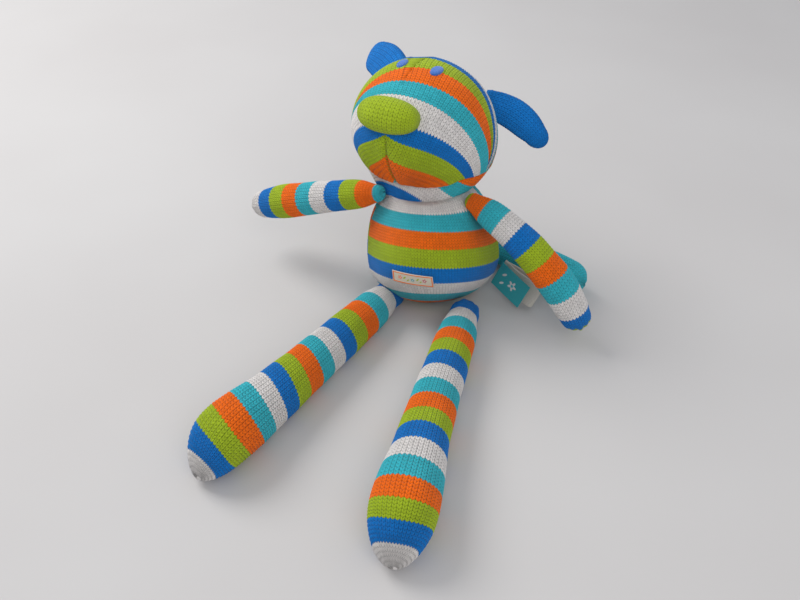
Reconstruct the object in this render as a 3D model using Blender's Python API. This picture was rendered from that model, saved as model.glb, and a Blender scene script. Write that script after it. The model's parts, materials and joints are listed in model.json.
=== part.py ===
"""Knitted soft-toy dog, sitting on the floor with its legs stretched out in front.

Blender 4.5, metres, +Z up. The dog faces -Y and its own left is +X. The origin is the centre of the flat
seat that it rests on. Every cover is a knitted shell with an opening at its seam, and holds loose filling.
The head, limbs, ears, tail and side labels each turn about the seam that sews them on.
"""

import math

import bmesh
import bpy
from mathutils import Matrix, Vector

# ---------------------------------------------------------------- driving dimensions
KNIT = 0.0016  # thickness of the knitted fabric
GAP = 0.0004  # clearance between touching pieces
FILL_INSET = KNIT + GAP  # from a cover's outside to its filling

TORSO_SEGMENTS = 32
BACK_FOOT = Vector((0.0031, -0.0191, -0.0004))  # where the body's axis meets its rounded bottom
BACK_AXIS = Vector((-0.0829, 0.3215, 0.9432))  # up and back, through the body and the head
BACK_LENGTH = 0.1372  # from the foot of the axis to the middle of the head
TORSO_OUTLINE = [  # distance along the back, radius: the pear-shaped body from its bottom to the neck
    (0.0015, 0.0145),
    (0.006, 0.0279),
    (0.012, 0.0377),
    (0.020, 0.0455),
    (0.028, 0.0497),
    (0.037, 0.0512),
    (0.046, 0.0507),
    (0.056, 0.0491),
    (0.068, 0.0458),
    (0.078, 0.0411),
    (0.086, 0.0355),
    (0.0915, 0.0292),
]
TORSO_ROWS = 18
SEAT_INSET = 0.0032  # from the body's outside to what fills it
PELLET_BAG_TOP = 0.026
FILLING_BOTTOM = 0.0295
FILLING_TOP = 0.0865
NECK_SEAM = 0.0888  # along the back
NECK_RING = 0.0262  # radius of the ring of stitches
NECK_THREAD = 0.0008  # half thickness of its thread

HEAD_HALF = Vector((0.0532, 0.0488, 0.0472))  # half width, half depth, half height
HEAD_TURN = math.radians(-34)  # the head looks to the dog's right
HEAD_TILT = math.radians(-30)  # and up
HEAD_ROLL = math.radians(-5)  # and leans a little to its right
HEAD_SEGMENTS = 28
SEAM_ANGLE = math.radians(116)  # from the nose to the seam between face and back panels
CHIN_SEAM_ANGLE = math.radians(73)
MUZZLE_SWELL = 0.095  # how much fuller the head is around the muzzle
MUZZLE_ANGLE = math.radians(-22)  # the middle of the muzzle, below the nose
MUZZLE_SPREAD = math.radians(42)
CHEEK_SWELL = 0.10  # how much fuller it is low on each side, behind the jaw
CHEEK = Vector((0.78, 0.28, -0.55)).normalized()
CHEEK_SPREAD = math.radians(38)
PANEL_GAP = 0.0005  # between the face and back panels along their seam
NECK_PIVOT_DROP = 0.004  # the nodding axis, below the head's centre
NECK_OPENING = 0.0150
NECK_OPENING_DEPTH = 0.040  # how far through the head's underside the opening is cut
NECK_OPENING_REACH = 0.045  # from the head's centre to the middle of that cut

NOSE_HALF = (0.0225, 0.0125)
NOSE_HEIGHT = 0.0135
EYE_HALF = (0.0039, 0.0070)
EYE_LEAN = math.radians(26)  # outwards, towards the top
EYE_RISE = math.radians(54)
EYE_OFFSETS = {1: 0.30, -1: 0.225}  # sideways, as a share of the head's half width: left, right
EYE_THICKNESS = 0.0009

LIMB_OPENING = 0.0030  # half width of the opening where a limb's root is sewn on
LIMB_SEGMENTS = 16
LIMB_ROW = 0.016  # spacing of the rings along a limb
LIMB_FILLING_START = 0.004  # from the pivot
KNOT_RADIUS = 0.0020

ARM_LENGTH = 0.127
ARM_ROOT = 0.0065
ARM_RADII = [(0.0, ARM_ROOT), (0.016, 0.0102), (0.050, 0.0122), (0.088, 0.0132), (0.112, 0.0118)]
SHOULDERS = {"left_arm": Vector((0.0273, -0.0240, 0.0918)), "right_arm": Vector((-0.0428, -0.0074, 0.0888))}
ARM_DIRECTIONS = {  # azimuth, elevation and bend in degrees, then the direction it bends towards
    "left_arm": (-39.2, -11.8, 60, Vector((0, 0.31, -0.95))),
    "right_arm": (150.8, -20, 5, Vector((0, 0, -1))),
}

LEG_LENGTHS = {"left_leg": 0.2175, "right_leg": 0.2080}
LEG_TOE = 0.0165  # the rounded end's part of it
LEG_ROOT = 0.0090
LEG_RADII = [(0.0, LEG_ROOT), (0.016, 0.0122), (0.070, 0.0140), (0.130, 0.0172), (0.176, 0.0205)]
TOE_RADIUS = 0.0195
HIPS = {"left_leg": Vector((0.0210, -0.0620, 0.0128)), "right_leg": Vector((-0.0370, -0.0360, 0.0128))}
LEG_DIRECTIONS = {"left_leg": (-106.6, 2.55, 3), "right_leg": (-122.8, 2.55, -3)}  # azimuth, rise, bend
HIP_CLEARANCE = 0.0020

TAIL_LENGTH = 0.098
TAIL_ROOT = 0.0080
TAIL_RADII = [(0.0, TAIL_ROOT), (0.022, 0.0125), (0.060, 0.0142), (0.085, 0.0135)]
TAIL_PIVOT = Vector((0.0405, 0.0372, 0.0140))
TAIL_HEADING = (-34, 0.6)

EAR_LENGTH = 0.050
EAR_THICKNESS = 0.0036  # half thickness
EAR_WIDTHS = [(0.0, 0.0104), (0.016, 0.0128), (0.032, 0.0112), (0.0464, 0.0068)]  # half widths
EAR_KNIT = 0.0011
EAR_CLEARANCE = {"left_ear": 0.0080, "right_ear": 0.0060}  # from the head to the ear's hinge
EAR_BASES = {  # on the head, in its own axes, as shares of its half sizes
    "left_ear": Vector((0.57, 0.70, 0.43)),
    "right_ear": Vector((-0.727, 0.33, 0.586)),
}
EARS = {  # direction it leaves the head in, direction it droops towards, and the droop in degrees
    "left_ear": (Vector((0.93, -0.28, -0.23)), Vector((0.0, -0.47, -0.88)), 41),
    "right_ear": (Vector((-0.29, 0.93, 0.22)), Vector((-0.60, -0.36, -0.70)), 32),
}

BELLY_LABEL = (0.0300, 0.0090)
BELLY_LABEL_SLOPE = 0.16  # its left end is lower
LABEL_THICKNESS = 0.0006
LABEL_GAP = 0.0006  # between a label and what it is sewn to
BELLY_LABEL_PLACE = (-108, 0.0332)  # azimuth in degrees and distance along the back of its middle
SIDE_LABEL_FOOT = Vector((0.0462, -0.0168, 0.0125))  # lower and upper end of its sewn edge
SIDE_LABEL_HEAD = Vector((0.0542, -0.0168, 0.0325))
SIDE_LABEL_HEADING = (-48, -16)
SIDE_LABEL_LENGTH = 0.030
CARE_LABEL_HEADING = (-38, -14)
CARE_LABEL_LENGTH = 0.037
CARE_LABEL_SPREAD = 0.0060

MOUTH_THREAD = 0.0006  # half width of the dart's ladder stitch

COLOURS = {
    "striped_knit": (0.80, 0.80, 0.78),
    "blue_knit": (0.01, 0.15, 0.52),
    "teal_knit": (0.05, 0.42, 0.45),
    "lime_knit": (0.36, 0.50, 0.03),
    "blue_thread": (0.05, 0.20, 0.62),
    "lime_thread": (0.30, 0.42, 0.03),
    "white_thread": (0.80, 0.79, 0.76),
    "polyester_fill": (0.86, 0.86, 0.84),
    "pellet_cloth": (0.62, 0.60, 0.55),
    "woven_label": (0.82, 0.80, 0.76),
    "teal_label": (0.04, 0.50, 0.53),
}


# ---------------------------------------------------------------- general tools
def clear_scene():
    for item in list(bpy.data.objects):
        bpy.data.objects.remove(item)


def material(name):
    found = bpy.data.materials.get(name)
    if found:
        return found
    made = bpy.data.materials.new(name)
    made.use_nodes = True
    shader = made.node_tree.nodes["Principled BSDF"]
    shader.inputs["Base Color"].default_value = (*COLOURS[name], 1.0)
    shader.inputs["Roughness"].default_value = 0.9
    shader.inputs["Metallic"].default_value = 0.0
    return made


def between(knots, at):
    """The smooth curve through (place, value) knots, read at one place."""
    if at <= knots[0][0]:
        return knots[0][1]
    if at >= knots[-1][0]:
        return knots[-1][1]
    last = len(knots) - 1
    i = max(k for k in range(last) if knots[k][0] <= at)

    def slope(k):
        low, high = max(k - 1, 0), min(k + 1, last)
        return (knots[high][1] - knots[low][1]) / (knots[high][0] - knots[low][0])

    (x0, y0), (x1, y1) = knots[i], knots[i + 1]
    step = x1 - x0
    t = (at - x0) / step
    return (
        (2 * t**3 - 3 * t**2 + 1) * y0
        + (t**3 - 2 * t**2 + t) * step * slope(i)
        + (3 * t**2 - 2 * t**3) * y1
        + (t**3 - t**2) * step * slope(i + 1)
    )


def new_piece(name, mesh_builder, colour, pivot=None):
    """An object made from a bmesh in world coordinates, with its origin moved to the pivot."""
    mesh = bpy.data.meshes.new(name)
    bm = bmesh.new()
    mesh_builder(bm)
    bmesh.ops.recalc_face_normals(bm, faces=bm.faces[:])
    if all(e.is_manifold for e in bm.edges) and bm.calc_volume(signed=True) < 0:
        bmesh.ops.reverse_faces(bm, faces=bm.faces[:])
    origin = pivot or Vector((0, 0, 0))
    bmesh.ops.translate(bm, verts=bm.verts[:], vec=-origin)
    bm.to_mesh(mesh)
    bm.free()
    mesh.shade_smooth()
    mesh.set_sharp_from_angle(angle=math.radians(50))
    mesh.materials.append(material(colour))
    piece = bpy.data.objects.new(name, mesh)
    piece.location = origin
    bpy.context.scene.collection.objects.link(piece)
    return piece


def thicken(piece, thickness):
    """Turns an open skin into a fabric shell by growing it inwards."""
    shell = piece.modifiers.new("fabric", "SOLIDIFY")
    shell.thickness = thickness
    shell.offset = -1.0
    shell.use_rim = True
    return piece


def loft(bm, rings, start="open", end="open"):
    """Joins rings of points. An end is left open, closed by a flat face, or drawn to a single point."""
    loops = [[bm.verts.new(p) for p in ring] for ring in rings]
    for low, high in zip(loops, loops[1:]):
        for k in range(len(low)):
            n = (k + 1) % len(low)
            bm.faces.new((low[k], low[n], high[n], high[k]))
    for loop, closing in ((loops[0], start), (loops[-1], end)):
        if closing == "flat":
            bm.faces.new(loop)
        elif isinstance(closing, Vector):
            tip = bm.verts.new(closing)
            for k in range(len(loop)):
                bm.faces.new((loop[k], loop[(k + 1) % len(loop)], tip))
    return loops


def box_sheet(bm, top, bottom):
    """A thin closed plate from two grids of points, rows by columns, that lie over each other."""
    grids = [[[bm.verts.new(p) for p in row] for row in grid] for grid in (top, bottom)]
    rows, columns = len(top), len(top[0])
    for grid in grids:
        for i in range(rows - 1):
            for j in range(columns - 1):
                bm.faces.new((grid[i][j], grid[i][j + 1], grid[i + 1][j + 1], grid[i + 1][j]))
    edge = [(0, j) for j in range(columns)]
    edge += [(i, columns - 1) for i in range(1, rows)]
    edge += [(rows - 1, j) for j in range(columns - 2, -1, -1)]
    edge += [(i, 0) for i in range(rows - 2, 0, -1)]
    for (a, b), (c, d) in zip(edge, edge[1:] + edge[:1]):
        bm.faces.new((grids[0][a][b], grids[0][c][d], grids[1][c][d], grids[1][a][b]))


def heading(azimuth, elevation):
    """A direction: azimuth in degrees from +X towards +Y, elevation above the horizon."""
    a, e = math.radians(azimuth), math.radians(elevation)
    return Vector((math.cos(a) * math.cos(e), math.sin(a) * math.cos(e), math.sin(e)))


class Spine:
    """A line of fixed length that leaves a pivot along heading and bends evenly towards another direction."""

    def __init__(self, pivot, heading, towards, bend, length):
        self.pivot = pivot
        self.along = heading.normalized()
        self.aside = (towards - self.along * towards.dot(self.along)).normalized()
        self.third = self.along.cross(self.aside)
        self.curve = bend / length
        self.length = length

    def frame(self, distance):
        """The point at that distance from the pivot, and the two directions across the line there."""
        if distance <= 0 or abs(self.curve) < 1e-6:
            return self.pivot + self.along * distance, self.aside, self.third
        turn = self.curve * distance
        point = (
            self.pivot
            + self.along * (math.sin(turn) / self.curve)
            + self.aside * ((1 - math.cos(turn)) / self.curve)
        )
        return point, self.aside * math.cos(turn) - self.along * math.sin(turn), self.third


# ---------------------------------------------------------------- torso
BACK = Spine(BACK_FOOT, BACK_AXIS, Vector((0, 1, 0)), 0.0, BACK_LENGTH)
HEAD_CENTRE = BACK.frame(BACK_LENGTH)[0]


def clear_of_hips(middle, point, inset):
    """Dents the body where a leg's root presses into it, by drawing the point in towards the middle."""
    share = 1.0
    line = point - middle
    for name, hip in HIPS.items():
        azimuth, rise, _ = LEG_DIRECTIONS[name]
        for along in (0.0, 0.006, 0.012):
            offset = middle - hip - heading(azimuth, rise) * along
            reach = between(LEG_RADII, along) + HIP_CLEARANCE + inset
            half = line.dot(offset) / line.length_squared
            root = half**2 - (offset.length_squared - reach**2) / line.length_squared
            if root > 0 and 0 < -half - math.sqrt(root) < share:
                share = -half - math.sqrt(root)
    return middle + line * share


def torso_point(azimuth, along, inset=0.0):
    """A point on the body, at an azimuth in radians and a distance along its back, or at a depth under it."""
    outline = TORSO_OUTLINE
    step = 0.0005
    slope = (between(outline, along + step) - between(outline, along - step)) / (2 * step)
    length = math.hypot(1, slope)
    centre, back, side = BACK.frame(along)
    up = back.cross(side)
    radius = between(outline, along) - inset / length
    point = centre - side * radius * math.cos(azimuth) + back * radius * math.sin(azimuth)
    lift = up * (inset * slope / length)
    point = clear_of_hips(centre + lift, point + lift, inset)
    point.z = max(point.z, inset)
    return point


def torso_ring(along, inset=0.0):
    return [torso_point(math.tau * k / TORSO_SEGMENTS, along, inset) for k in range(TORSO_SEGMENTS)]


def spaced(low, high, rows):
    """Places from low to high, closer together near both ends, where the body curves in."""
    return [low + (high - low) * (1 - math.cos(math.pi * k / rows)) / 2 for k in range(rows + 1)]


def make_torso():
    def cover(bm):
        places = spaced(TORSO_OUTLINE[0][0], TORSO_OUTLINE[-1][0], TORSO_ROWS)
        loft(bm, [torso_ring(s) for s in places], start="flat")
        seat = [f for f in bm.faces if all(v.co.z < 1e-6 for v in f.verts)]
        bmesh.ops.dissolve_faces(bm, faces=seat)

    def pellets(bm):
        rows = [torso_ring(s, SEAT_INSET) for s in spaced(TORSO_OUTLINE[0][0], PELLET_BAG_TOP, 8)]
        loft(bm, rows, start="flat", end="flat")

    def filling(bm):
        rows = [torso_ring(s, SEAT_INSET) for s in spaced(FILLING_BOTTOM, FILLING_TOP, 12)]
        loft(bm, rows, start="flat", end="flat")

    thicken(new_piece("torso_cover", cover, "striped_knit"), KNIT)
    new_piece("seat_pellet_bag", pellets, "pellet_cloth")
    new_piece("torso_filling", filling, "polyester_fill")


def make_neck_thread(pivot, around=24, sides=8):
    """The ring of ladder stitch that joins the head to the body."""
    centre, back, side = BACK.frame(NECK_SEAM)
    up = back.cross(side)

    def build(bm):
        loops = []
        for k in range(around):
            turn = math.tau * k / around
            outward = side * math.cos(turn) + back * math.sin(turn)
            middle = centre + outward * NECK_RING
            turns = [math.tau * j / sides for j in range(sides)]
            points = [middle + (outward * math.cos(t) + up * math.sin(t)) * NECK_THREAD for t in turns]
            loops.append([bm.verts.new(p) for p in points])
        for k in range(around):
            low, high = loops[k], loops[(k + 1) % around]
            for j in range(sides):
                n = (j + 1) % sides
                bm.faces.new((low[j], low[n], high[n], high[j]))

    new_piece("neck_ladder_stitch", build, "white_thread", pivot)


def make_belly_label():
    """A small woven label, sewn flat on the front of the body."""
    width, height = BELLY_LABEL
    columns, rows = 9, 3
    middle, place = BELLY_LABEL_PLACE

    def grid(out):
        points = []
        for i in range(rows):
            along = place + height * (i / (rows - 1) - 0.5)
            row = []
            for j in range(columns):
                across = width * (j / (columns - 1) - 0.5)
                turn = math.radians(middle) + across / between(TORSO_OUTLINE, along)
                row.append(torso_point(turn, along - BELLY_LABEL_SLOPE * across, -out))
            points.append(row)
        return points

    def build(bm):
        box_sheet(bm, grid(LABEL_GAP + LABEL_THICKNESS), grid(LABEL_GAP))

    new_piece("belly_label", build, "woven_label")


def make_side_labels():
    """A short coloured tab and a longer folded care label, caught together in the left side seam."""
    ends = (SIDE_LABEL_FOOT, SIDE_LABEL_HEAD)
    pivot = (SIDE_LABEL_FOOT + SIDE_LABEL_HEAD) / 2

    def tab(bm):
        out = heading(*SIDE_LABEL_HEADING)
        aside = (SIDE_LABEL_HEAD - SIDE_LABEL_FOOT).cross(out).normalized()

        def grid(offset):
            return [[e + out * (SIDE_LABEL_LENGTH * j / 4) - aside * offset for j in range(5)] for e in ends]

        box_sheet(bm, grid(LABEL_GAP + LABEL_THICKNESS), grid(LABEL_GAP))

    def care(bm):
        """The strip runs out, turns round in a half circle and comes back: a folded loop seen from above."""
        out = heading(*CARE_LABEL_HEADING)
        aside = (SIDE_LABEL_HEAD - SIDE_LABEL_FOOT).cross(out).normalized()
        bend = CARE_LABEL_SPREAD / 2
        turns = 8
        outline = []
        for shift in (0.0, LABEL_THICKNESS):
            radius = bend - shift
            side = [-aside * radius]
            for k in range(turns + 1):
                a = -math.pi / 2 + math.pi * k / turns
                far = CARE_LABEL_LENGTH - bend + radius * math.cos(a)
                side.append(out * far + aside * radius * math.sin(a))
            side.append(aside * radius)
            outline += side if not outline else side[::-1]
        middle = aside * (LABEL_GAP + bend)
        loft(bm, [[e + middle + p for p in outline] for e in ends], start="flat", end="flat")

    new_piece("side_tab_label", tab, "teal_label", pivot)
    new_piece("side_care_label", care, "woven_label", pivot)


# ---------------------------------------------------------------- head
HEAD_FRAME = (
    Matrix.Rotation(HEAD_TURN, 3, "Z")
    @ Matrix.Rotation(HEAD_TILT, 3, "X")
    @ Matrix.Rotation(HEAD_ROLL, 3, "Y")
)


def head_direction(polar, around):
    """A direction in the head's own axes: polar is the angle from the nose, around turns from +X to up."""
    return Vector(
        (
            math.sin(polar) * math.cos(around),
            -math.cos(polar),
            math.sin(polar) * math.sin(around),
        )
    )


def head_point(direction, out=0.0):
    """The head's surface along a direction in its own axes, moved outwards, in world coordinates."""
    muzzle = Vector((0, -math.cos(MUZZLE_ANGLE), math.sin(MUZZLE_ANGLE)))
    swell = 1 + MUZZLE_SWELL * math.exp(-((direction.angle(muzzle) / MUZZLE_SPREAD) ** 2))
    sideways = Vector((abs(direction.x), direction.y, direction.z))
    swell += CHEEK_SWELL * math.exp(-((sideways.angle(CHEEK) / CHEEK_SPREAD) ** 2))
    local = Vector([d * (h * swell + out) for d, h in zip(direction, HEAD_HALF)])
    return HEAD_CENTRE + HEAD_FRAME @ local


def seam_angle(around):
    """Where the face panel ends: a circle round the head that comes forward under the chin."""
    chin = max(0.0, -math.sin(around)) ** 3
    return SEAM_ANGLE + (CHIN_SEAM_ANGLE - SEAM_ANGLE) * chin


def head_ring(share, start, end, out=0.0):
    """One ring round the nose axis, a share of the way between two functions of the angle around it."""
    ring = []
    for k in range(HEAD_SEGMENTS):
        around = math.tau * k / HEAD_SEGMENTS
        polar = start(around) + (end(around) - start(around)) * share
        ring.append(head_point(head_direction(polar, around), out))
    return ring


def make_head(pivot):
    rows = 8
    half_seam = PANEL_GAP / 2 / HEAD_HALF.x
    front = Vector((0, -1, 0))
    back = Vector((0, 1, 0))

    def nose_pole(around):
        return 0.0

    def back_pole(around):
        return math.pi

    def face_edge(around):
        return seam_angle(around) - half_seam

    def rear_edge(around):
        return seam_angle(around) + half_seam

    def face(bm):
        rings = [head_ring(k / rows, nose_pole, face_edge) for k in range(1, rows + 1)]
        loft(bm, rings, start=head_point(front))

    def rear(bm):
        rings = [head_ring(k / rows, rear_edge, back_pole) for k in range(rows)]
        loft(bm, rings, end=head_point(back))

    def filling(bm):
        inset = -FILL_INSET - GAP
        rings = [head_ring(k / rows, nose_pole, seam_angle, inset) for k in range(1, rows + 1)]
        rings += [head_ring(k / rows, seam_angle, back_pole, inset) for k in range(1, rows)]
        loft(bm, rings, start=head_point(front, inset), end=head_point(back, inset))

    thicken(new_piece("head_face_panel", face, "striped_knit", pivot), KNIT)
    rear_panel = thicken(new_piece("head_back_panel", rear, "striped_knit", pivot), KNIT)
    new_piece("head_filling", filling, "polyester_fill", pivot)
    cut_neck_opening(rear_panel)


def cut_neck_opening(panel):
    """The hole in the head's underside through which it is filled, over the body's neck."""
    neck = (BACK.frame(NECK_SEAM)[0] - HEAD_CENTRE).normalized()

    def build(bm):
        size = NECK_OPENING
        bmesh.ops.create_cone(
            bm, cap_ends=True, segments=20, radius1=size, radius2=size, depth=NECK_OPENING_DEPTH
        )
        turned = Vector((0, 0, 1)).rotation_difference(neck).to_matrix().to_4x4()
        placed = Matrix.Translation(HEAD_CENTRE + neck * NECK_OPENING_REACH) @ turned
        bmesh.ops.transform(bm, verts=bm.verts[:], matrix=placed)

    cutter = new_piece("neck_cutter", build, "white_thread")
    cutter.hide_render = True
    cutter.display_type = "WIRE"
    cut = panel.modifiers.new("neck_opening", "BOOLEAN")
    cut.operation = "DIFFERENCE"
    cut.object = cutter


def on_head(centre, right, up, half, share, around, height):
    """A point over an oval on the head: share of the way from its centre to its rim, raised by height."""
    a = half[0] / HEAD_HALF.x * share * math.cos(around)
    b = half[1] / HEAD_HALF.x * share * math.sin(around)
    return head_point((centre + right * a + up * b).normalized(), height)


def oval_rings(centre, right, up, half, shares, height_of, segments):
    return [
        [
            on_head(centre, right, up, half, share, math.tau * k / segments, height_of(share))
            for k in range(segments)
        ]
        for share in shares
    ]


def make_nose(pivot):
    """A stuffed oval cushion whose open back is sewn to the face."""
    centre, right, up = Vector((0, -1, 0)), Vector((1, 0, 0)), Vector((0, 0, 1))
    segments, shares = 20, [0.35, 0.65, 0.85, 0.96, 1.0]
    base = GAP

    def dome(height):
        return lambda share: base + (height - base) * math.sqrt(max(0.0, 1 - share**2))

    def inner(less):
        return tuple(h - less for h in NOSE_HALF)

    def cover(bm):
        outside = oval_rings(centre, right, up, NOSE_HALF, shares, dome(NOSE_HEIGHT), segments)
        inside = oval_rings(centre, right, up, inner(KNIT), shares, dome(NOSE_HEIGHT - KNIT), segments)
        tips = [head_point(centre, NOSE_HEIGHT), head_point(centre, NOSE_HEIGHT - KNIT)]
        loft(bm, outside + inside[::-1], start=tips[0], end=tips[1])

    def filling(bm):
        half = inner(FILL_INSET)
        top = oval_rings(centre, right, up, half, shares, dome(NOSE_HEIGHT - FILL_INSET), segments)
        floor = oval_rings(centre, right, up, half, [0.9, 0.6], lambda s: base, segments)
        tips = [head_point(centre, NOSE_HEIGHT - FILL_INSET), head_point(centre, base)]
        loft(bm, top + floor, start=tips[0], end=tips[1])

    new_piece("nose_cover", cover, "lime_knit", pivot)
    new_piece("nose_filling", filling, "polyester_fill", pivot)


def make_eyes(pivot):
    """Satin-stitched ovals that stand a little above the face."""
    for name, side in (("left_eye_embroidery", 1), ("right_eye_embroidery", -1)):
        sideways = EYE_OFFSETS[side] * side
        forward = math.sqrt(1 - sideways**2)
        centre = Vector((sideways, -forward * math.cos(EYE_RISE), forward * math.sin(EYE_RISE)))
        up = (Vector((0, 0, 1)) - centre * centre.z).normalized()
        up = Matrix.Rotation(-EYE_LEAN * side, 3, -centre) @ up
        right = up.cross(centre).normalized()

        def build(bm, centre=centre, up=up, right=right):
            def crown(share):
                return GAP + EYE_THICKNESS * (1 - 0.6 * share**2)

            top = oval_rings(centre, right, up, EYE_HALF, [0.4, 0.75, 1.0], crown, 16)
            floor = oval_rings(centre, right, up, EYE_HALF, [1.0, 0.5], lambda s: GAP, 16)
            tips = [head_point(centre, crown(0)), head_point(centre, GAP)]
            loft(bm, top + floor, start=tips[0], end=tips[1])

        new_piece(name, build, "blue_thread", pivot)


def make_mouth_thread(pivot):
    """The ladder stitch that closes the dart from under the nose to the chin."""
    steps = 10
    start, end = math.radians(21), CHIN_SEAM_ANGLE - math.radians(9)
    sides = 6

    def build(bm):
        rings = []
        for k in range(steps + 1):
            polar = start + (end - start) * k / steps
            ring = []
            for j in range(sides):
                turn = math.tau * j / sides
                spread = MOUTH_THREAD * math.cos(turn) / (HEAD_HALF.x * math.sin(polar))
                height = GAP + MOUTH_THREAD * (1 + math.sin(turn))
                ring.append(head_point(head_direction(polar, -math.pi / 2 + spread), height))
            rings.append(ring)
        loft(bm, rings, start="flat", end="flat")

    new_piece("mouth_dart_thread", build, "lime_thread", pivot)


# ---------------------------------------------------------------- limbs, tail and ears
def limb_outline(radii, root, length, inset=0.0, start=None):
    """(distance, radius) from the root's opening round the root's ball, along the limb and over its end."""
    end = radii[-1][0]
    points = []
    opening = math.acos(LIMB_OPENING / root)
    for k in range(3):
        a = opening * (1 - k / 3)
        points.append((-root * math.sin(a), root * math.cos(a)))
    rows = max(5, round(end / LIMB_ROW))
    points += [(end * k / rows, between(radii, end * k / rows)) for k in range(rows + 1)]
    radius = radii[-1][1]
    for k in range(1, 4):
        a = math.pi / 2 * k / 4
        points.append((end + (length - end) * math.sin(a), radius * math.cos(a)))
    if start is not None:
        points = [p for p in points if p[0] >= start]
    moved = []
    for k, (s, r) in enumerate(points):
        before, after = points[max(k - 1, 0)], points[min(k + 1, len(points) - 1)]
        ds, dr = after[0] - before[0], after[1] - before[1]
        size = math.hypot(ds, dr)
        moved.append((s + inset * dr / size, r - inset * ds / size))
    return moved


def round_ring(spine, distance, radius):
    centre, aside, third = spine.frame(distance)
    turns = [math.tau * k / LIMB_SEGMENTS for k in range(LIMB_SEGMENTS)]
    return [centre + aside * radius * math.cos(t) + third * radius * math.sin(t) for t in turns]


def make_limb(name, spine, radii, root, colour):
    """A knitted tube closed at its tip, and its filling."""

    def cover(bm):
        outline = limb_outline(radii, root, spine.length)
        loft(bm, [round_ring(spine, s, r) for s, r in outline], end=spine.frame(spine.length)[0])

    def filling(bm):
        inset = FILL_INSET + GAP
        outline = limb_outline(radii, root, spine.length, inset, start=LIMB_FILLING_START)
        tip = spine.frame(spine.length - inset)[0]
        loft(bm, [round_ring(spine, s, r) for s, r in outline], start="flat", end=tip)

    thicken(new_piece(f"{name}_cover", cover, colour, spine.pivot), KNIT)
    new_piece(f"{name}_filling", filling, "polyester_fill", spine.pivot)


def make_knot(name, pivot):
    """The knotted end of the sewing thread, inside the limb's root."""

    def build(bm):
        bmesh.ops.create_icosphere(bm, subdivisions=2, radius=KNOT_RADIUS)
        bmesh.ops.translate(bm, verts=bm.verts[:], vec=pivot)

    new_piece(name, build, "white_thread", pivot)


def make_limbs():
    for name, (azimuth, elevation, bend, towards) in ARM_DIRECTIONS.items():
        pivot = SHOULDERS[name]
        spine = Spine(pivot, heading(azimuth, elevation), towards, math.radians(bend), ARM_LENGTH)
        make_limb(name, spine, ARM_RADII, ARM_ROOT, "striped_knit")
        make_knot(name.replace("arm", "shoulder_thread_knot"), pivot)
    for name, (azimuth, rise, bend) in LEG_DIRECTIONS.items():
        pivot = HIPS[name]
        length = LEG_LENGTHS[name]
        spine = Spine(pivot, heading(azimuth, rise), Vector((1, 0, 0)), math.radians(bend), length)
        make_limb(name, spine, LEG_RADII + [(length - LEG_TOE, TOE_RADIUS)], LEG_ROOT, "striped_knit")
        make_knot(name.replace("leg", "hip_thread_knot"), pivot)


def make_tail():
    spine = Spine(TAIL_PIVOT, heading(*TAIL_HEADING), Vector((0, -1, 0)), math.radians(8), TAIL_LENGTH)
    make_limb("tail", spine, TAIL_RADII, TAIL_ROOT, "teal_knit")


def ear_ring(spine, distance, half_width, half_thickness, segments=16):
    """A flat ring with round edges: a circle whose centre slides across the ear's width."""
    centre, wide, thick = spine.frame(distance)
    ring = []
    for k in range(segments):
        turn = math.tau * (k + 0.5) / segments
        slide = max(-1.0, min(1.0, 1.5 * math.cos(turn)))
        across = (half_width - half_thickness) * slide + half_thickness * math.cos(turn)
        ring.append(centre + wide * across + thick * half_thickness * math.sin(turn))
    return ring


def ear_outline(inset=0.0):
    """(distance, half width, half thickness) from the slot at the base, round it and out to the tip."""
    thickness = EAR_THICKNESS
    taper = 0.0012
    rows = []
    for a in (58, 30):
        a = math.radians(a)
        rows.append((-thickness * math.sin(a), EAR_WIDTHS[0][1] - taper * math.sin(a), thickness * math.cos(a)))
    end = EAR_LENGTH - thickness
    for k in range(8):
        s = end * k / 7
        rows.append((s, between(EAR_WIDTHS, s), thickness))
    for a in (40, 72):
        a = math.radians(a)
        width = thickness * math.cos(a) + (EAR_WIDTHS[-1][1] - thickness) * math.cos(a) ** 0.5
        rows.append((end + thickness * math.sin(a), width, thickness * math.cos(a)))
    if inset:
        rows = [(s, w - inset, h - inset) for s, w, h in rows if 0 < s <= end]
    return rows


def ear_spine(name):
    direction, droop, angle = EARS[name]
    pivot = head_point(EAR_BASES[name].normalized(), EAR_CLEARANCE[name])
    return Spine(pivot, direction, droop, math.radians(angle), EAR_LENGTH)


def make_ears():
    for name in EARS:
        spine = ear_spine(name)

        def cover(bm, spine=spine):
            loft(bm, [ear_ring(spine, *row) for row in ear_outline()], end="flat")

        def filling(bm, spine=spine):
            rows = ear_outline(EAR_KNIT + 2 * GAP)
            loft(bm, [ear_ring(spine, *row) for row in rows], start="flat", end="flat")

        thicken(new_piece(f"{name}_cover", cover, "blue_knit", spine.pivot), EAR_KNIT)
        new_piece(f"{name}_wadding", filling, "polyester_fill", spine.pivot)


def main():
    clear_scene()
    make_torso()
    make_belly_label()
    make_side_labels()
    head_pivot = BACK.frame(BACK_LENGTH - NECK_PIVOT_DROP)[0]
    make_head(head_pivot)
    make_neck_thread(head_pivot)
    make_nose(head_pivot)
    make_eyes(head_pivot)
    make_mouth_thread(head_pivot)
    make_limbs()
    make_tail()
    make_ears()


main()
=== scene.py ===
import json
import math

import bpy
import numpy as np
from mathutils import Matrix, Vector


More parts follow.
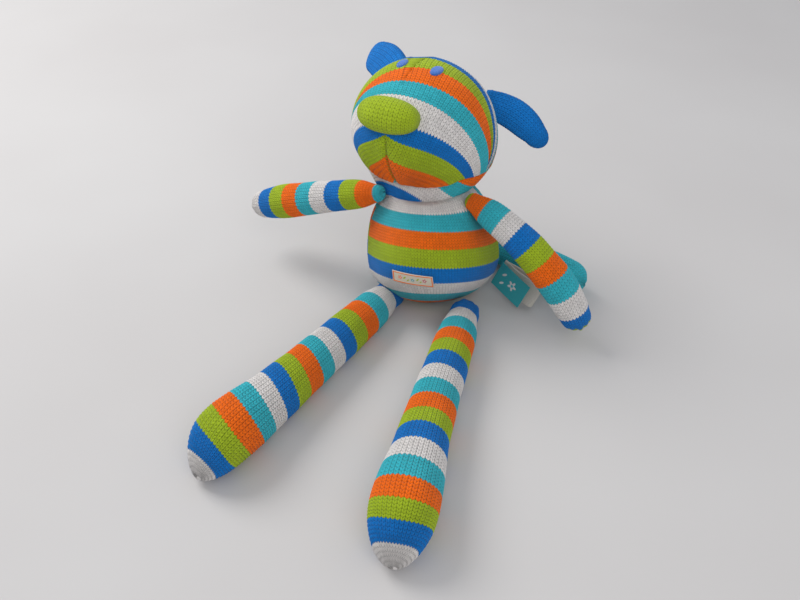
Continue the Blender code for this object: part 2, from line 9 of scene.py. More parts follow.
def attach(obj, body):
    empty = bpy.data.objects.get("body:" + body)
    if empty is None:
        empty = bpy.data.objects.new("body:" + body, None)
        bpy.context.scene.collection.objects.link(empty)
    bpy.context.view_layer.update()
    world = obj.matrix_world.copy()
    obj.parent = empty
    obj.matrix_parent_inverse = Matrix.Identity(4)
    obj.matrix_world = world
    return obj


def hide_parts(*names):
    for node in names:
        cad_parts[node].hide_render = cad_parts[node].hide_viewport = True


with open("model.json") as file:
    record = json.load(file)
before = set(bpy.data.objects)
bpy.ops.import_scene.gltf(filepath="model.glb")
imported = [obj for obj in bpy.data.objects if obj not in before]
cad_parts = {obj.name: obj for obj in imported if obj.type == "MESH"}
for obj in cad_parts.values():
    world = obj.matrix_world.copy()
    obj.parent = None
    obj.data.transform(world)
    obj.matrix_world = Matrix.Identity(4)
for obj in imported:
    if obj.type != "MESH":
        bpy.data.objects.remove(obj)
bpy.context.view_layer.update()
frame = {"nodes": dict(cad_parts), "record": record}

# ---------------------------------------------------------------- sizes, in metres; most are the CAD's own
PIVOT = {j["name"]: np.array(j["pos_m"]) for j in frame["record"]["behaviour"]["joints"]}

BACK_FOOT = np.array((0.0031, -0.0191, -0.0004))
BACK_AXIS = np.array((-0.0829, 0.3215, 0.9432))
BACK_LENGTH = 0.1372
TORSO_OUTLINE = [
    (0.0015, 0.0145), (0.006, 0.0279), (0.012, 0.0377), (0.020, 0.0455), (0.028, 0.0497), (0.037, 0.0512),
    (0.046, 0.0507), (0.056, 0.0491), (0.068, 0.0458), (0.078, 0.0411), (0.086, 0.0355), (0.0915, 0.0292),
]
# the cover turns in under the head
NECK_LIP = [(0.0935, 0.0280), (0.0944, 0.0264), (0.0942, 0.0246), (0.0930, 0.0232)]
# places of the stripes along the back, from the neck, and their spacing under the seat
TORSO_STRIPES = [0.0915, 0.0797, 0.0668, 0.0543, 0.0403, 0.0284, 0.0184, 0.0098]
SEAT_STRIPE = 0.0125
CHIN_DIP = 0.0078  # its top is pressed down at the front by the chin
STRIPE_DROP = 0.0054  # the stripes sit lower on the dog's left than in the middle
STRIPE_RISE = 0.0033  # and higher at the front
SIDE_SEAM = math.radians(-10)  # azimuth of the left seam; the right one mirrors it

HEAD_HALF = np.array((0.0532, 0.0488, 0.0472))
HEAD_TURN, HEAD_TILT, HEAD_ROLL = math.radians(-34), math.radians(-30), math.radians(-5)
MUZZLE_SWELL, MUZZLE_ANGLE, MUZZLE_SPREAD = 0.095, math.radians(-22), math.radians(42)
CHEEK_SWELL, CHEEK, CHEEK_SPREAD = 0.10, (0.78, 0.28, -0.55), math.radians(38)
# the underside sags onto the body, most of all behind the chin seam
NECK_SWELL, NECK, NECK_SPREAD = 0.075, (0.167, 0.281, -0.945), math.radians(50)
COLLAR_SWELL, COLLAR, COLLAR_SPREAD = 0.235, (0.06, -0.14, -0.98), math.radians(36)
BACK_PANEL_LEAN = (0.31, 0.08, 0.0)  # its stripes lean to the dog's left of level
# degrees below the sides, then the angle from the nose to the seam between face and back panels
SEAM = [
    (0, 125), (12, 124), (20, 119), (26, 106), (33, 91.5),
    (40, 82), (50, 79.5), (65, 74), (80, 68), (90, 66.5),
]
SEAM_DEPTH = 0.0016  # how far the seam is drawn in
NOSE_HALF = (0.0228, 0.0127)
NOSE_HEIGHT = 0.0150
EYE_HALF = (0.0040, 0.0071)
EYE_RISE = math.radians(54)
EYE_LEAN = math.radians(26)
EYE_OFFSETS = {1: 0.30, -1: 0.225}
DART_DEGREES = (21, 63, 2.6)  # where the dart is stitched, from the nose down, and the stitches' spacing
NECK_RING = (0.0888, 0.0262)  # place along the back and radius of the ladder thread

ARM_LENGTH = 0.127
ARM_RADII = [
    (0.0, 0.0065), (0.016, 0.0102), (0.050, 0.0122), (0.088, 0.0132), (0.108, 0.0120), (0.114, 0.0110),
]
ARMS = {
    # pivot, azimuth, elevation, how far it bends in all, and towards where
    "left_arm": ((0.0273, -0.0240, 0.0918), -39.2, -11.8, 60, (0, 0.31, -0.95)),
    "right_arm": ((-0.0428, -0.0074, 0.0888), 150.8, -20, 5, (0, 0, -1)),
}
LEG_LENGTHS = {"left_leg": 0.2130, "right_leg": 0.2050}
LEG_TOE, TOE_RADIUS = 0.0165, 0.0195
LEG_RADII = [
    (0.0, 0.0110), (0.016, 0.0137), (0.045, 0.0150), (0.090, 0.0159), (0.130, 0.0175), (0.176, 0.0205),
]
TOE_CLOSING, LEG_TUCK = 0.036, 0.0065
LEG_SKEWS = {"left_leg": 0.0, "right_leg": 0.33}  # how far its rows lean to one side
LEGS = {
    "left_leg": ((0.0210, -0.0620, 0.0128), -106.6, 2.55, 5.5, (1, 0, 0)),
    "right_leg": ((-0.0370, -0.0360, 0.0128), -122.8, 2.55, -3, (1, 0, 0)),
}
HIP_CLEARANCE = 0.0004
TAIL = ((0.0405, 0.0372, 0.0140), -34, 0.6, 8, (0, -1, 0))
TAIL_LENGTH = 0.098
TAIL_RADII = [(0.0, 0.0080), (0.022, 0.0125), (0.060, 0.0142), (0.085, 0.0135)]
EAR_LENGTH = 0.050
EAR_THICKNESS = 0.0036
EAR_WIDTHS = [(-0.004, 0.0112), (0.004, 0.0122), (0.016, 0.0130), (0.028, 0.0122), (0.0385, 0.0098)]
EAR_TIP = 0.0105
EAR_REACH = {"left_ear": 0.0490, "right_ear": 0.0405}
EAR_FULLNESS = {"left_ear": 0.90, "right_ear": 1.14}
EAR_TUCK = {"left_ear": 0.0060, "right_ear": 0.0045}
EARS = {
    # direction at the root, how far it bends in all, and towards where
    "left_ear": ((0.93, -0.28, -0.23), 41, (0.0, -0.47, -0.88)),
    "right_ear": ((-0.29, 0.93, 0.22), 43, (-0.60, -0.36, -0.70)),
}

BELLY_LABEL = (0.0300, 0.0090)
BELLY_LABEL_SLOPE = 0.16  # its left end is lower
BELLY_LABEL_PLACE = (-108, 0.0332)
SIDE_LABEL_ENDS = ((0.0462, -0.0168, 0.0125), (0.0542, -0.0168, 0.0325))  # of the edge sewn into the side seam
SIDE_LABEL_LENGTH = 0.030
CARE_LABEL_LENGTH = 0.037
CARE_LABEL_SPREAD = 0.0060

# ---------------------------------------------------------------- yarn colours, linear
BLUE = (0.001, 0.175, 0.570)
WHITE = (0.760, 0.730, 0.710)
TEAL = (0.036, 0.470, 0.560)
ORANGE = (0.930, 0.155, 0.003)
LIME = (0.365, 0.500, 0.016)
CYCLE = [BLUE, WHITE, TEAL, ORANGE, LIME]

COURSES = 6  # rows of stitches in a stripe
FINE_ACROSS, FINE_ALONG = 4, 3  # mesh cells in a stitch
CHEVRON = 1.0  # how far, in rows, the two halves of a stitch rise from its middle to its edge
YARN_LEVEL = 0.6  # height of a stitch that lies on the cover's own surface
LOWEST = 0.0002  # nothing soft goes nearer the floor than this
LEG_WALES, ARM_WALES, TAIL_WALES, TORSO_WALES = 38, 28, 30, 132  # columns of stitches round each
FACE_WALES, FACE_COURSES, BACK_WALES = 78, 7, 116
NOSE_WALES, NOSE_COURSES = 26, 17
EAR_WALES, EAR_COURSES = 34, 25
EYE_THREADS = 26


# ---------------------------------------------------------------- curves and surfaces
def unit(v):
    v = np.asarray(v, float)
    return v / np.linalg.norm(v, axis=-1, keepdims=True)


def smooth(knots, x):
    """The smooth curve through (place, value) knots, read at every x."""
    at = np.array([k[0] for k in knots], float)
    value = np.array([k[1] for k in knots], float)
    slope = np.empty_like(value)
    slope[1:-1] = (value[2:] - value[:-2]) / (at[2:] - at[:-2])
    slope[0] = (value[1] - value[0]) / (at[1] - at[0])
    slope[-1] = (value[-1] - value[-2]) / (at[-1] - at[-2])
    x = np.clip(x, at[0], at[-1])
    i = np.clip(np.searchsorted(at, x, side="right") - 1, 0, len(at) - 2)
    step = at[i + 1] - at[i]
    t = (x - at[i]) / step
    return (
        (2 * t**3 - 3 * t**2 + 1) * value[i]
        + (t**3 - 2 * t**2 + t) * step * slope[i]
        + (3 * t**2 - 2 * t**3) * value[i + 1]
        + (t**3 - t**2) * step * slope[i + 1]
    )


def ease(x):
    """From 0 to 1, level at both ends."""
    x = np.clip(x, 0, 1)
    return x**2 * (3 - 2 * x)


def bell(distance, width):
    return np.exp(-((distance / width) ** 2))


def heading(azimuth, elevation):
    a, e = math.radians(azimuth), math.radians(elevation)
    return np.array((math.cos(a) * math.cos(e), math.sin(a) * math.cos(e), math.sin(e)))


class Spine:
    """A line that leaves a pivot along a direction and bends evenly towards another."""

    def __init__(self, pivot, along, towards, bend, length):
        self.pivot = np.array(pivot, float)
        self.along = unit(along)
        towards = np.array(towards, float)
        self.aside = unit(towards - self.along * towards.dot(self.along))
        self.third = np.cross(self.along, self.aside)
        self.curve = math.radians(bend) / length

    def frame(self, distance):
        """For an array of distances: points, and the two directions across the line at each."""
        d = np.asarray(distance, float)[..., None]
        if abs(self.curve) < 1e-6:
            return self.pivot + self.along * d, self.aside + 0 * d, self.third + 0 * d
        turn = np.maximum(d, 0) * self.curve
        point = (
            self.pivot
            + self.along * (np.sin(turn) / self.curve + np.minimum(d, 0))
            + self.aside * ((1 - np.cos(turn)) / self.curve)
        )
        return point, self.aside * np.cos(turn) - self.along * np.sin(turn), self.third + 0 * d


def swell(points, amount, size, seed):
    """Soft unevenness of stuffing: a smooth value between -amount and amount at every point."""
    p = points / size
    a, b, c = seed * 1.7, seed * 2.9, seed * 4.3
    wave = np.sin(p[..., 0] * 2.1 + a) * np.sin(p[..., 1] * 1.7 + b) + np.sin(p[..., 2] * 2.3 + c) * np.sin(
        p[..., 0] * 1.3 - p[..., 1] * 1.1 + b
    )
    return amount * 0.5 * wave


def stitches(wale, course):
    """Height of knitted fabric, from 0 in the grooves between its columns to 1 on top of the yarn."""
    across = np.abs((wale % 1.0) - 0.5)
    row = (course + CHEVRON * across) % 1.0
    away = (across - 0.25) / 0.25
    side = 1 - np.where(away > 0, 0.80, 0.52) * away**2
    return side * (0.18 + 0.82 * np.sin(np.pi * row) ** 0.6)


def normals_of(points, centre):
    """Unit normals of a tube's grid of points, rows along and columns round, turned away from its middle line."""
    across = np.roll(points, -1, axis=1) - np.roll(points, 1, axis=1)
    n = np.cross(across, np.gradient(points, axis=0))
    n = n / np.maximum(np.linalg.norm(n, axis=-1, keepdims=True), 1e-12)
    row = len(n) // 2
    return n if (n[row] * (points[row] - centre[row])).sum() > 0 else -n


def stitch_grid(courses, columns, closed=True):
    """(wale, course) of every point of a grid whose rows lie at the given courses."""
    edges = columns + 1 if closed else columns
    wale = np.tile(np.arange(edges) / FINE_ACROSS, (len(courses), 1))
    return wale, np.tile(np.asarray(courses)[:, None], (1, columns))


def grid_mesh(name, points, wale, course, closed, keep=None, start=None, end=None):
    """A mesh from a grid of points, rows by columns, with its stitch coordinates as a UV map.

    closed joins the last column to the first; wale then has one value more than there are columns.
    keep drops the faces where it is false. start and end close the first and last ring to a point.
    """
    rows, columns = points.shape[:2]
    index = np.arange(rows * columns).reshape(rows, columns)
    count = columns if closed else columns - 1
    i, j = np.meshgrid(np.arange(rows - 1), np.arange(count), indexing="ij")
    n = (j + 1) % columns
    faces = np.stack([index[i, j], index[i, n], index[i + 1, n], index[i + 1, j]], axis=-1)
    uv = np.stack(
        [
            np.stack([wale[i, j], course[i, j]], -1),
            np.stack([wale[i, j + 1], course[i, n]], -1),
            np.stack([wale[i + 1, j + 1], course[i + 1, n]], -1),
            np.stack([wale[i + 1, j], course[i + 1, j]], -1),
        ],
        axis=2,
    )
    chosen = np.ones((rows - 1, count), bool) if keep is None else keep
    faces, uv = faces[chosen], uv[chosen]
    vertices = points.reshape(-1, 3)
    loops, loop_uv = [faces.reshape(-1)], [uv.reshape(-1, 2)]
    sizes = [np.full(len(faces), 4)]
    for tip, row in ((start, 0), (end, rows - 1)):
        if tip is None:
            continue
        vertices = np.vstack([vertices, tip])
        ring = index[row]
        following = np.roll(ring, -1)
        middle = np.full(columns, len(vertices) - 1)
        order = (following, ring, middle) if row == 0 else (ring, following, middle)
        loops.append(np.stack(order, -1).reshape(-1))
        at = np.stack([wale[row, :-1] + 0.5, course[row]], -1)
        loop_uv.append(np.repeat(at, 3, axis=0))
        sizes.append(np.full(columns, 3))
    return make_object(name, vertices, np.concatenate(loops), np.concatenate(sizes), np.concatenate(loop_uv))


def make_object(name, vertices, loops, sizes, uv=None):
    used = np.zeros(len(vertices), bool)
    used[loops] = True
    place = np.cumsum(used) - 1
    mesh = bpy.data.meshes.new(name)
    mesh.vertices.add(int(used.sum()))
    mesh.vertices.foreach_set("co", vertices[used].astype(np.float32).ravel())
    mesh.loops.add(len(loops))
    mesh.loops.foreach_set("vertex_index", place[loops].astype(np.int32))
    mesh.polygons.add(len(sizes))
    starts = np.concatenate([[0], np.cumsum(sizes)[:-1]])
    mesh.polygons.foreach_set("loop_start", starts.astype(np.int32))
    mesh.polygons.foreach_set("loop_total", sizes.astype(np.int32))
    mesh.update(calc_edges=True)
    mesh.validate()
    if uv is not None:
        layer = mesh.uv_layers.new(name="stitch")
        layer.data.foreach_set("uv", uv.astype(np.float32).ravel())
    mesh.shade_smooth()
    return linked(bpy.data.objects.new(name, mesh))


def linked(thing):
    bpy.context.scene.collection.objects.link(thing)
    return thing


def values(items, key, width=1, kind=np.float32):
    """One attribute of every item of a mesh, as an array."""
    found = np.empty(len(items) * width, kind)
    items.foreach_get(key, found)
    return found.reshape(-1, width) if width > 1 else found


def outward(piece):
    """Turns a closed mesh's faces outwards."""
    mesh = piece.data
    mesh.calc_loop_triangles()
    corners = values(mesh.loop_triangles, "vertices", 3, np.int32)
    a, b, c = (values(mesh.vertices, "co", 3)[corners[:, k]] for k in range(3))
    if (a * np.cross(b, c)).sum() < 0:
        mesh.flip_normals()


def face_out(piece):
    """Turns an open panel's faces away from the head's middle."""
    mesh = piece.data
    first = values(mesh.loops, "vertex_index", kind=np.int32)[values(mesh.polygons, "loop_start", kind=np.int32)]
    if (values(mesh.polygons, "normal", 3) * (values(mesh.vertices, "co", 3)[first] - HEAD_CENTRE)).sum() < 0:
        mesh.flip_normals()


def stands_for(piece, material, body, slot, *nodes):
    """Gives a piece its material, the CAD nodes it replaces and the body it moves with; slot is not used."""
    piece.data.materials.append(material)
    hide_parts(*nodes)
    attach(piece, body)


# ---------------------------------------------------------------- materials
class Nodes:
    """Short hands for building a material's node tree."""

    def __init__(self, name):
        self.material = bpy.data.materials.new(name)
        self.material.use_nodes = True
        self.tree = self.material.node_tree
        self.shader = self.tree.nodes["Principled BSDF"]

    def node(self, kind, inputs=(), **settings):
        made = self.tree.nodes.new("ShaderNode" + kind)
        for key, value in settings.items():
            setattr(made, key, value)
        for socket, value in dict(inputs).items():
            self.put(value, made.inputs[socket])
        return made

    def put(self, value, socket):
        if isinstance(value, bpy.types.NodeSocket):
            self.tree.links.new(value, socket)
        else:
            socket.default_value = value

    def math(self, operation, a, b=0.0, c=0.0):
        return self.node("Math", {0: a, 1: b, 2: c}, operation=operation).outputs[0]

    def mix(self, share, a, b, blend="MIX"):
        made = self.node("Mix", {0: share, 6: a, 7: b}, data_type="RGBA", blend_type=blend)
        return made.outputs[2]

    def noise(self, vector, scale, detail=2.0, rough=0.5):
        made = self.node("TexNoise", {"Vector": vector, "Scale": scale, "Detail": detail, "Roughness": rough})
        return made.outputs[0]

    def between(self, value, low, high, to_low=0.0, to_high=1.0):
        made = self.node("MapRange", {0: value, 1: low, 2: high, 3: to_low, 4: to_high})
        return made.outputs[0]

    def times(self, a, b):
        return self.math("MULTIPLY", a, b)

    def stitch_uv(self):
        """The two coordinates of the UV map."""
        parts = self.node("SeparateXYZ", {0: self.node("UVMap", uv_map="stitch").outputs[0]})
        return parts.outputs[0], parts.outputs[1]

    def vector(self, x, y, z=0.0):
        return self.node("CombineXYZ", {0: x, 1: y, 2: z}).outputs[0]

    def finish(self, colour, roughness, height=None, distance=0.0005, strength=1.0, sheen=0.0):
        self.put(colour, self.shader.inputs["Base Color"])
        self.put(roughness, self.shader.inputs["Roughness"])
        self.shader.inputs["Specular IOR Level"].default_value = 0.25
        if sheen:
            self.shader.inputs["Sheen Weight"].default_value = sheen
            self.shader.inputs["Sheen Roughness"].default_value = 0.45
        if height is not None:
            bump = self.node("Bump", {"Height": height, "Distance": distance, "Strength": strength})
            self.put(bump.outputs[0], self.shader.inputs["Normal"])
        return self.material


def rgba(colour, share=1.0):
    return (*[c * share for c in colour], 1.0)


def knit_material(name, colours, direction=1, offset=0, depth=0.0007):
    """Stocking stitch in one colour or in stripes, from the (wale, course) coordinates in the UV map, with painted
    shade between the stitches and a painted sheen on their tops.
    """
    m = Nodes(name)
    wale, course = m.stitch_uv()
    across = m.math("ABSOLUTE", m.math("SUBTRACT", m.math("FRACT", wale), 0.5))
    raised = m.math("MULTIPLY_ADD", across, CHEVRON, course)
    row = m.math("FRACT", raised)
    number = m.math("FLOOR", raised)
    away = m.times(m.math("SUBTRACT", across, 0.25), 4.0)
    dip = m.math("MULTIPLY_ADD", m.math("GREATER_THAN", away, 0.0), 0.28, 0.52)
    side = m.math("SUBTRACT", 1.0, m.times(m.times(away, away), dip))
    arch = m.math("POWER", m.math("SINE", m.times(row, math.pi)), 0.6)
    height = m.times(side, m.math("MULTIPLY_ADD", arch, 0.82, 0.18))
    fibre = m.noise(m.vector(m.times(wale, 2.6), m.times(raised, 9.0), number), 1.6, 3.0, 0.65)
    yarn = m.noise(m.vector(m.times(wale, 7.0), m.times(raised, 5.0)), 1.0, 2.0)
    wear = m.noise(m.node("TexCoord").outputs["Object"], 55.0, 3.0)
    each = m.node("TexWhiteNoise", {0: m.vector(m.math("FLOOR", wale), number)}).outputs[0]
    if len(colours) > 1:
        stripe = m.math("FLOOR", m.math("DIVIDE", m.math("ADD", number, 0.5), COURSES))
        turn = m.math("MULTIPLY_ADD", stripe, direction / 5, (offset + 0.5) / 5 + 20)
        ramp = m.node("ValToRGB", {0: m.math("FRACT", turn)})
        ramp.color_ramp.interpolation = "CONSTANT"
        stops = ramp.color_ramp.elements
        while len(stops) < len(colours):
            stops.new(0.5)
        for k, colour in enumerate(colours):
            stops[k].position = k / len(colours)
            stops[k].color = rgba(colour)
        base = ramp.outputs[0]
    else:
        base = rgba(colours[0])
    shade = m.times(m.between(fibre, 0.3, 0.7, 0.87, 1.10), m.between(each, 0, 1, 0.93, 1.06))
    shade = m.times(shade, m.between(wear, 0.3, 0.7, 0.94, 1.05))
    # painted shade: the colour darkens to a fifth in the low grooves and holes between the stitches, where shade
    # falls
    shade = m.times(shade, m.between(height, 0.02, 0.50, 0.20, 1.04))
    hue = m.node("HueSaturation", {"Color": base, "Hue": m.between(yarn, 0.3, 0.7, 0.494, 0.506), "Value": shade})
    # painted sheen: the yarn's fibres are paled towards a bluish white, most on the raised tops of the stitches, as
    # lit fuzz looks
    painted_sheen = m.times(m.between(fibre, 0.58, 0.75, 0.0, 0.05), height)
    colour = m.mix(painted_sheen, hue.outputs[0], rgba((0.9, 0.92, 0.95)))
    relief = m.math("MULTIPLY_ADD", fibre, 0.35, height)
    roughness = m.between(fibre, 0.3, 0.7, 0.95, 0.78)
    return m.finish(colour, roughness, relief, depth, 0.9, sheen=0.08)


# ---------------------------------------------------------------- knitted tubes: arms, legs, tail
def tube_profile(radii, root, length, toe, tuck):
    """Fine (distance, half width, half height) along a limb, and the length of surface from the root's plane.

    tuck is how far the root runs on behind its pivot, into what it is sewn to. toe is how much of the end
    closes to a flattened tip, as a sock does; without it the end is round.
    """
    end, radius = radii[-1]
    end = length - toe if toe else end
    a = np.linspace(-math.pi / 2, 0, 25)[:-1]
    back = [(root * math.sin(t) - tuck, root * math.cos(t), root * math.cos(t)) for t in a]
    s = np.linspace(-tuck, end, 240)
    r = smooth(radii, s)
    body = list(zip(s, r, r))
    if toe:
        q = np.linspace(0, 1, 80)[1:]
        wide = np.maximum(r[-1] * (1 - q**2.6) ** 0.5, 0.002)
        high = np.maximum(r[-1] * (1 - q**2.6) ** 0.56, 0.0007)
        tip = list(zip(end + toe * q, wide, high))
    else:
        t = np.linspace(0, math.pi / 2, 40)[1:]
        tip = list(zip(end + (length - end) * np.sin(t), radius * np.cos(t), radius * np.cos(t)))
    line = np.array(back + body + tip)
    step = np.hypot(np.diff(line[:, 0]), np.diff(line[:, 2]))
    arc = np.concatenate([[0], np.cumsum(step)])
    return line, arc - np.interp(0.0, line[:, 0], arc)


def make_tube(name, place, radii, length, wales, edges, material, slot, relief, seed,
              floor=False, pucker=0.0, toe=0.0, tuck=0.0, skew=0.0):
    """A stuffed knitted tube, gathered at its root; edges say where its stripes begin."""
    pivot, azimuth, rise, bend, towards = place
    spine = Spine(pivot, heading(azimuth, rise), towards, bend, length)
    root = radii[0][1]
    line, arc = tube_profile(radii, root, length, toe, tuck)
    table = np.interp(arc, [e[1] for e in edges], [e[0] for e in edges]) * COURSES
    low = math.ceil(table[0])
    high = math.floor(table[-1])
    fine = np.arange(low * FINE_ALONG, high * FINE_ALONG + 1) / FINE_ALONG
    at = np.interp(fine, table, arc)
    s, wide, high_half = (np.interp(at, arc, line[:, k])[:, None] for k in range(3))
    columns = wales * FINE_ACROSS
    turn = math.tau * np.arange(columns) / columns
    s = s + toe_lean(s, length, toe) * high_half * np.sin(turn)
    s = s + skew * np.clip((s - 0.02) / 0.10, 0, 1) * wide * np.cos(turn) * np.clip((length - s) / 0.02, 0, 1)
    wide, high_half = (np.interp(s, line[:, 0], line[:, k]) for k in (1, 2))
    centre, aside, third = spine.frame(s)
    if toe:
        droop = ease((s - length + 2.2 * toe) / (1.4 * toe))
        centre[..., 2] += droop * (0.8 * high_half + 0.006 - centre[..., 2])
    points = centre + aside * (wide * np.cos(turn))[..., None] + third * (high_half * np.sin(turn))[..., None]
    wale, course = stitch_grid(fine, columns)
    n = normals_of(points, centre)
    shrink = np.clip(np.minimum(wide, high_half) / 0.008, 0.15, 1)
    out = swell(points, 0.0006, 0.014, seed) * shrink
    out += (stitches(wale[:, :-1], course) - YARN_LEVEL) * relief * shrink
    near_tip = np.clip((s - (radii[-1][0] - 0.004)) / (length - radii[-1][0]), 0, 1)
    near_root = np.clip(1 - (s + root) / (2.2 * root), 0, 1)
    folds = np.cos(9 * turn + seed) * 0.7 + np.cos(5 * turn + 2 * seed) * 0.5
    out += folds * (pucker * near_tip**2 + 0.0004 * near_root**1.5) * shrink
    points = points + n * out[..., None]
    if floor:
        points[..., 2] = np.maximum(points[..., 2], LOWEST)
    first = spine.frame(np.array([line[0, 0]]))[0][0]
    piece = grid_mesh(f"{name}_knit", points, wale, course, True, start=first, end=points[-1].mean(0))
    outward(piece)
    stands_for(piece, material, name, slot, f"{name}_cover", f"{name}_filling")


def toe_lean(s, length, toe):
    """How far forward the rows lie on top of a foot, whose end droops to the floor, per unit of its half height."""
    if not toe:
        return 0.0
    fade = np.clip((s - length + toe) / toe, 0, 1)
    return 0.42 * ease((s - length + 2.4 * toe) / (2.0 * toe)) * (1 - fade**3)


# stripe number, length of surface from where the limb is sewn on
LEG_EDGES = {
    "left_leg": [(t, -0.0005 + 0.0136 * t + 0.000075 * t * t) for t in (-4, 0, 4, 8)] + [
        (9, 0.1269), (10, 0.1415), (11, 0.1559), (12, 0.1707), (13, 0.1835), (14, 0.1948), (15, 0.2088), (18, 0.255),
    ],
    "right_leg": [(t, 0.003 + 0.0138 * t) for t in (-4, 4)] + [
        (7, 0.0956), (8, 0.1084), (10, 0.1340), (11, 0.1460), (12, 0.1590), (13, 0.1728), (14, 0.1862), (15, 0.2015),
        (18, 0.25),
    ],
}
ARM_EDGES = {
    "left_arm": [
        (-1, -0.017), (0, -0.0025), (1, 0.0115), (2, 0.0263), (3, 0.0389), (4, 0.0521), (5, 0.0658),
        (6, 0.0798), (7, 0.0953), (8, 0.1120), (9, 0.1240), (10, 0.145),
    ],
    "right_arm": [(-2, -0.0275), (12, 0.1706)],
}
TAIL_EDGES = [(-2, -0.0264), (12, 0.1584)]


def make_limbs():
    for name, place in ARMS.items():
        left = name == "left_arm"
        material = knit_material(f"{name}_striped_knit", CYCLE, -1 if left else 1, 3, 0.0007)
        make_tube(
            name, place, ARM_RADII, ARM_LENGTH, ARM_WALES, ARM_EDGES[name], material, "striped_knit", 0.0008,
            seed=3 if left else 8, pucker=0.0009 if left else 0.0003,
        )
    material = knit_material("legs_striped_knit", CYCLE, 1, 1, 0.0009)
    for name, place in LEGS.items():
        length = LEG_LENGTHS[name]
        radii = LEG_RADII + [(length - LEG_TOE, TOE_RADIUS)]
        make_tube(
            name, place, radii, length, LEG_WALES, LEG_EDGES[name], material, "striped_knit", 0.0009,
            seed=2 if name == "left_leg" else 5, floor=True, toe=TOE_CLOSING, tuck=LEG_TUCK, skew=LEG_SKEWS[name],
        )
    material = knit_material("tail_teal_knit", [TEAL], depth=0.0007)
    make_tube(
        "tail", TAIL, TAIL_RADII, TAIL_LENGTH, TAIL_WALES, TAIL_EDGES, material, "teal_knit", 0.0007,
        seed=4, floor=True, pucker=0.0004,
    )


# ---------------------------------------------------------------- torso
BACK = Spine(BACK_FOOT, BACK_AXIS, (0, 1, 0), 0.0, BACK_LENGTH)
HEAD_CENTRE = BACK.frame(BACK_LENGTH)[0]


def clear_of_hips(middle, points):
    """Dents the body where a leg's root presses into it."""
    line = points - middle
    size = (line**2).sum(-1)
    share = np.ones(points.shape[:-1])
    for pivot, azimuth, rise, _, _ in LEGS.values():
        for along in (0.0, 0.006, 0.012):
            offset = middle - np.array(pivot) - heading(azimuth, rise) * along
            reach = smooth(LEG_RADII, along) + HIP_CLEARANCE
            half = (line * offset).sum(-1) / size
            root = half**2 - ((offset**2).sum(-1) - reach**2) / size
            hit = -half - np.sqrt(np.maximum(root, 0))
            share = np.where((root > 0) & (hit > 0), np.minimum(share, hit), share)
    return middle + line * share[..., None]


def seam_crease(turn, seam, radius, depth, width):
    """How far a seam at an azimuth draws the fabric in."""
    distance = np.abs((turn - seam + math.pi) % math.tau - math.pi) * radius
    return depth * bell(distance, width)


def pulled_to_shoulders(points, n):
    """The fabric is drawn out a little where each arm is sewn on."""
    for pivot, *_ in ARMS.values():
        away = np.linalg.norm(points - np.array(pivot), axis=-1)
        points = points + n * (0.0024 * bell(away - 0.006, 0.006))[..., None]
    return points


def make_torso():
    top = TORSO_OUTLINE[-1][0]
    fine = np.linspace(top, TORSO_OUTLINE[0][0], 600)
    lip = np.array(NECK_LIP[::-1])
    s_all = np.concatenate([lip[:, 0], fine, [0.0006]])
    r_all = np.concatenate([lip[:, 1], smooth(TORSO_OUTLINE, fine), [0.002]])
    arc = np.concatenate([[0], np.cumsum(np.hypot(np.diff(s_all), np.diff(r_all)))])
    edges = [float(np.interp(-s, -fine, arc[len(lip):-1])) for s in TORSO_STRIPES]
    edges[0] = 0.0
    edges.insert(1, float(arc[len(lip)]))
    places = [0, 0.18] + list(range(1, len(edges) - 1))
    while edges[-1] + SEAT_STRIPE < arc[-1]:
        edges.append(edges[-1] + SEAT_STRIPE)
        places.append(places[-1] + 1)
    last = places[-1] + (arc[-1] - edges[-1]) / SEAT_STRIPE
    rows = np.arange(math.floor(last * COURSES) * FINE_ALONG + 1) / FINE_ALONG
    at = np.interp(rows / COURSES, places + [last], edges + [arc[-1]])
    s, r = np.interp(at, arc, s_all), np.interp(at, arc, r_all)
    columns = TORSO_WALES * FINE_ACROSS
    turn = SIDE_SEAM + math.tau * np.arange(columns) / columns
    settle = ease(np.clip((s_all[0] - 0.004 - s) / 0.014, 0, 1) * np.clip((s - 0.002) / 0.012, 0, 1))
    wave = (-STRIPE_DROP * np.cos(turn) - STRIPE_RISE * np.sin(turn)) * (r[:, None] / 0.048)
    shift = settle[:, None] * (wave - STRIPE_RISE)
    front = np.abs((turn + math.pi / 2 + math.pi) % math.tau - math.pi)
    under_chin = bell(front, math.radians(62))
    shift = shift - CHIN_DIP * under_chin * np.clip((s[:, None] - 0.074) / 0.019, 0, 1) ** 1.5
    s2 = s[:, None] + shift
    r2 = np.where(s[:, None] > top, r[:, None], smooth(TORSO_OUTLINE, np.minimum(s2, top)))
    r2 = np.where(s[:, None] < 0.0016, r[:, None], r2)
    middle, back, side = BACK.frame(s2)
    points = middle - side * (r2 * np.cos(turn))[..., None] + back * (r2 * np.sin(turn))[..., None]
    points = clear_of_hips(middle, points)
    n = normals_of(points, middle)
    wale, course = stitch_grid(rows, columns)
    shrink = np.clip(r2 / 0.02, 0.1, 1)
    out = swell(points, 0.0007, 0.022, 6) * shrink
    out += (stitches(wale[:, :-1], course) - YARN_LEVEL) * 0.00055 * shrink
    for seam in (SIDE_SEAM, math.pi - SIDE_SEAM):
        out -= seam_crease(turn, seam, r2, 0.0017, 0.0016) * shrink
        out += seam_crease(turn, seam - math.copysign(0.09, math.cos(seam)), r2, 0.0006, 0.0035) * shrink
    points = pulled_to_shoulders(points + n * out[..., None], n)
    points[..., 2] = np.maximum(points[..., 2], LOWEST)
    piece = grid_mesh("torso_knit", points, wale, course, True, end=points[-1].mean(0))
    offset_half(piece, TORSO_WALES * (math.pi - 2 * SIDE_SEAM) / math.tau, 4)
    material = knit_material("torso_striped_knit", CYCLE, 1, 1, 0.0006)
    stands_for(piece, material, "torso", "striped_knit", "torso_cover", "torso_filling", "seat_pellet_bag")


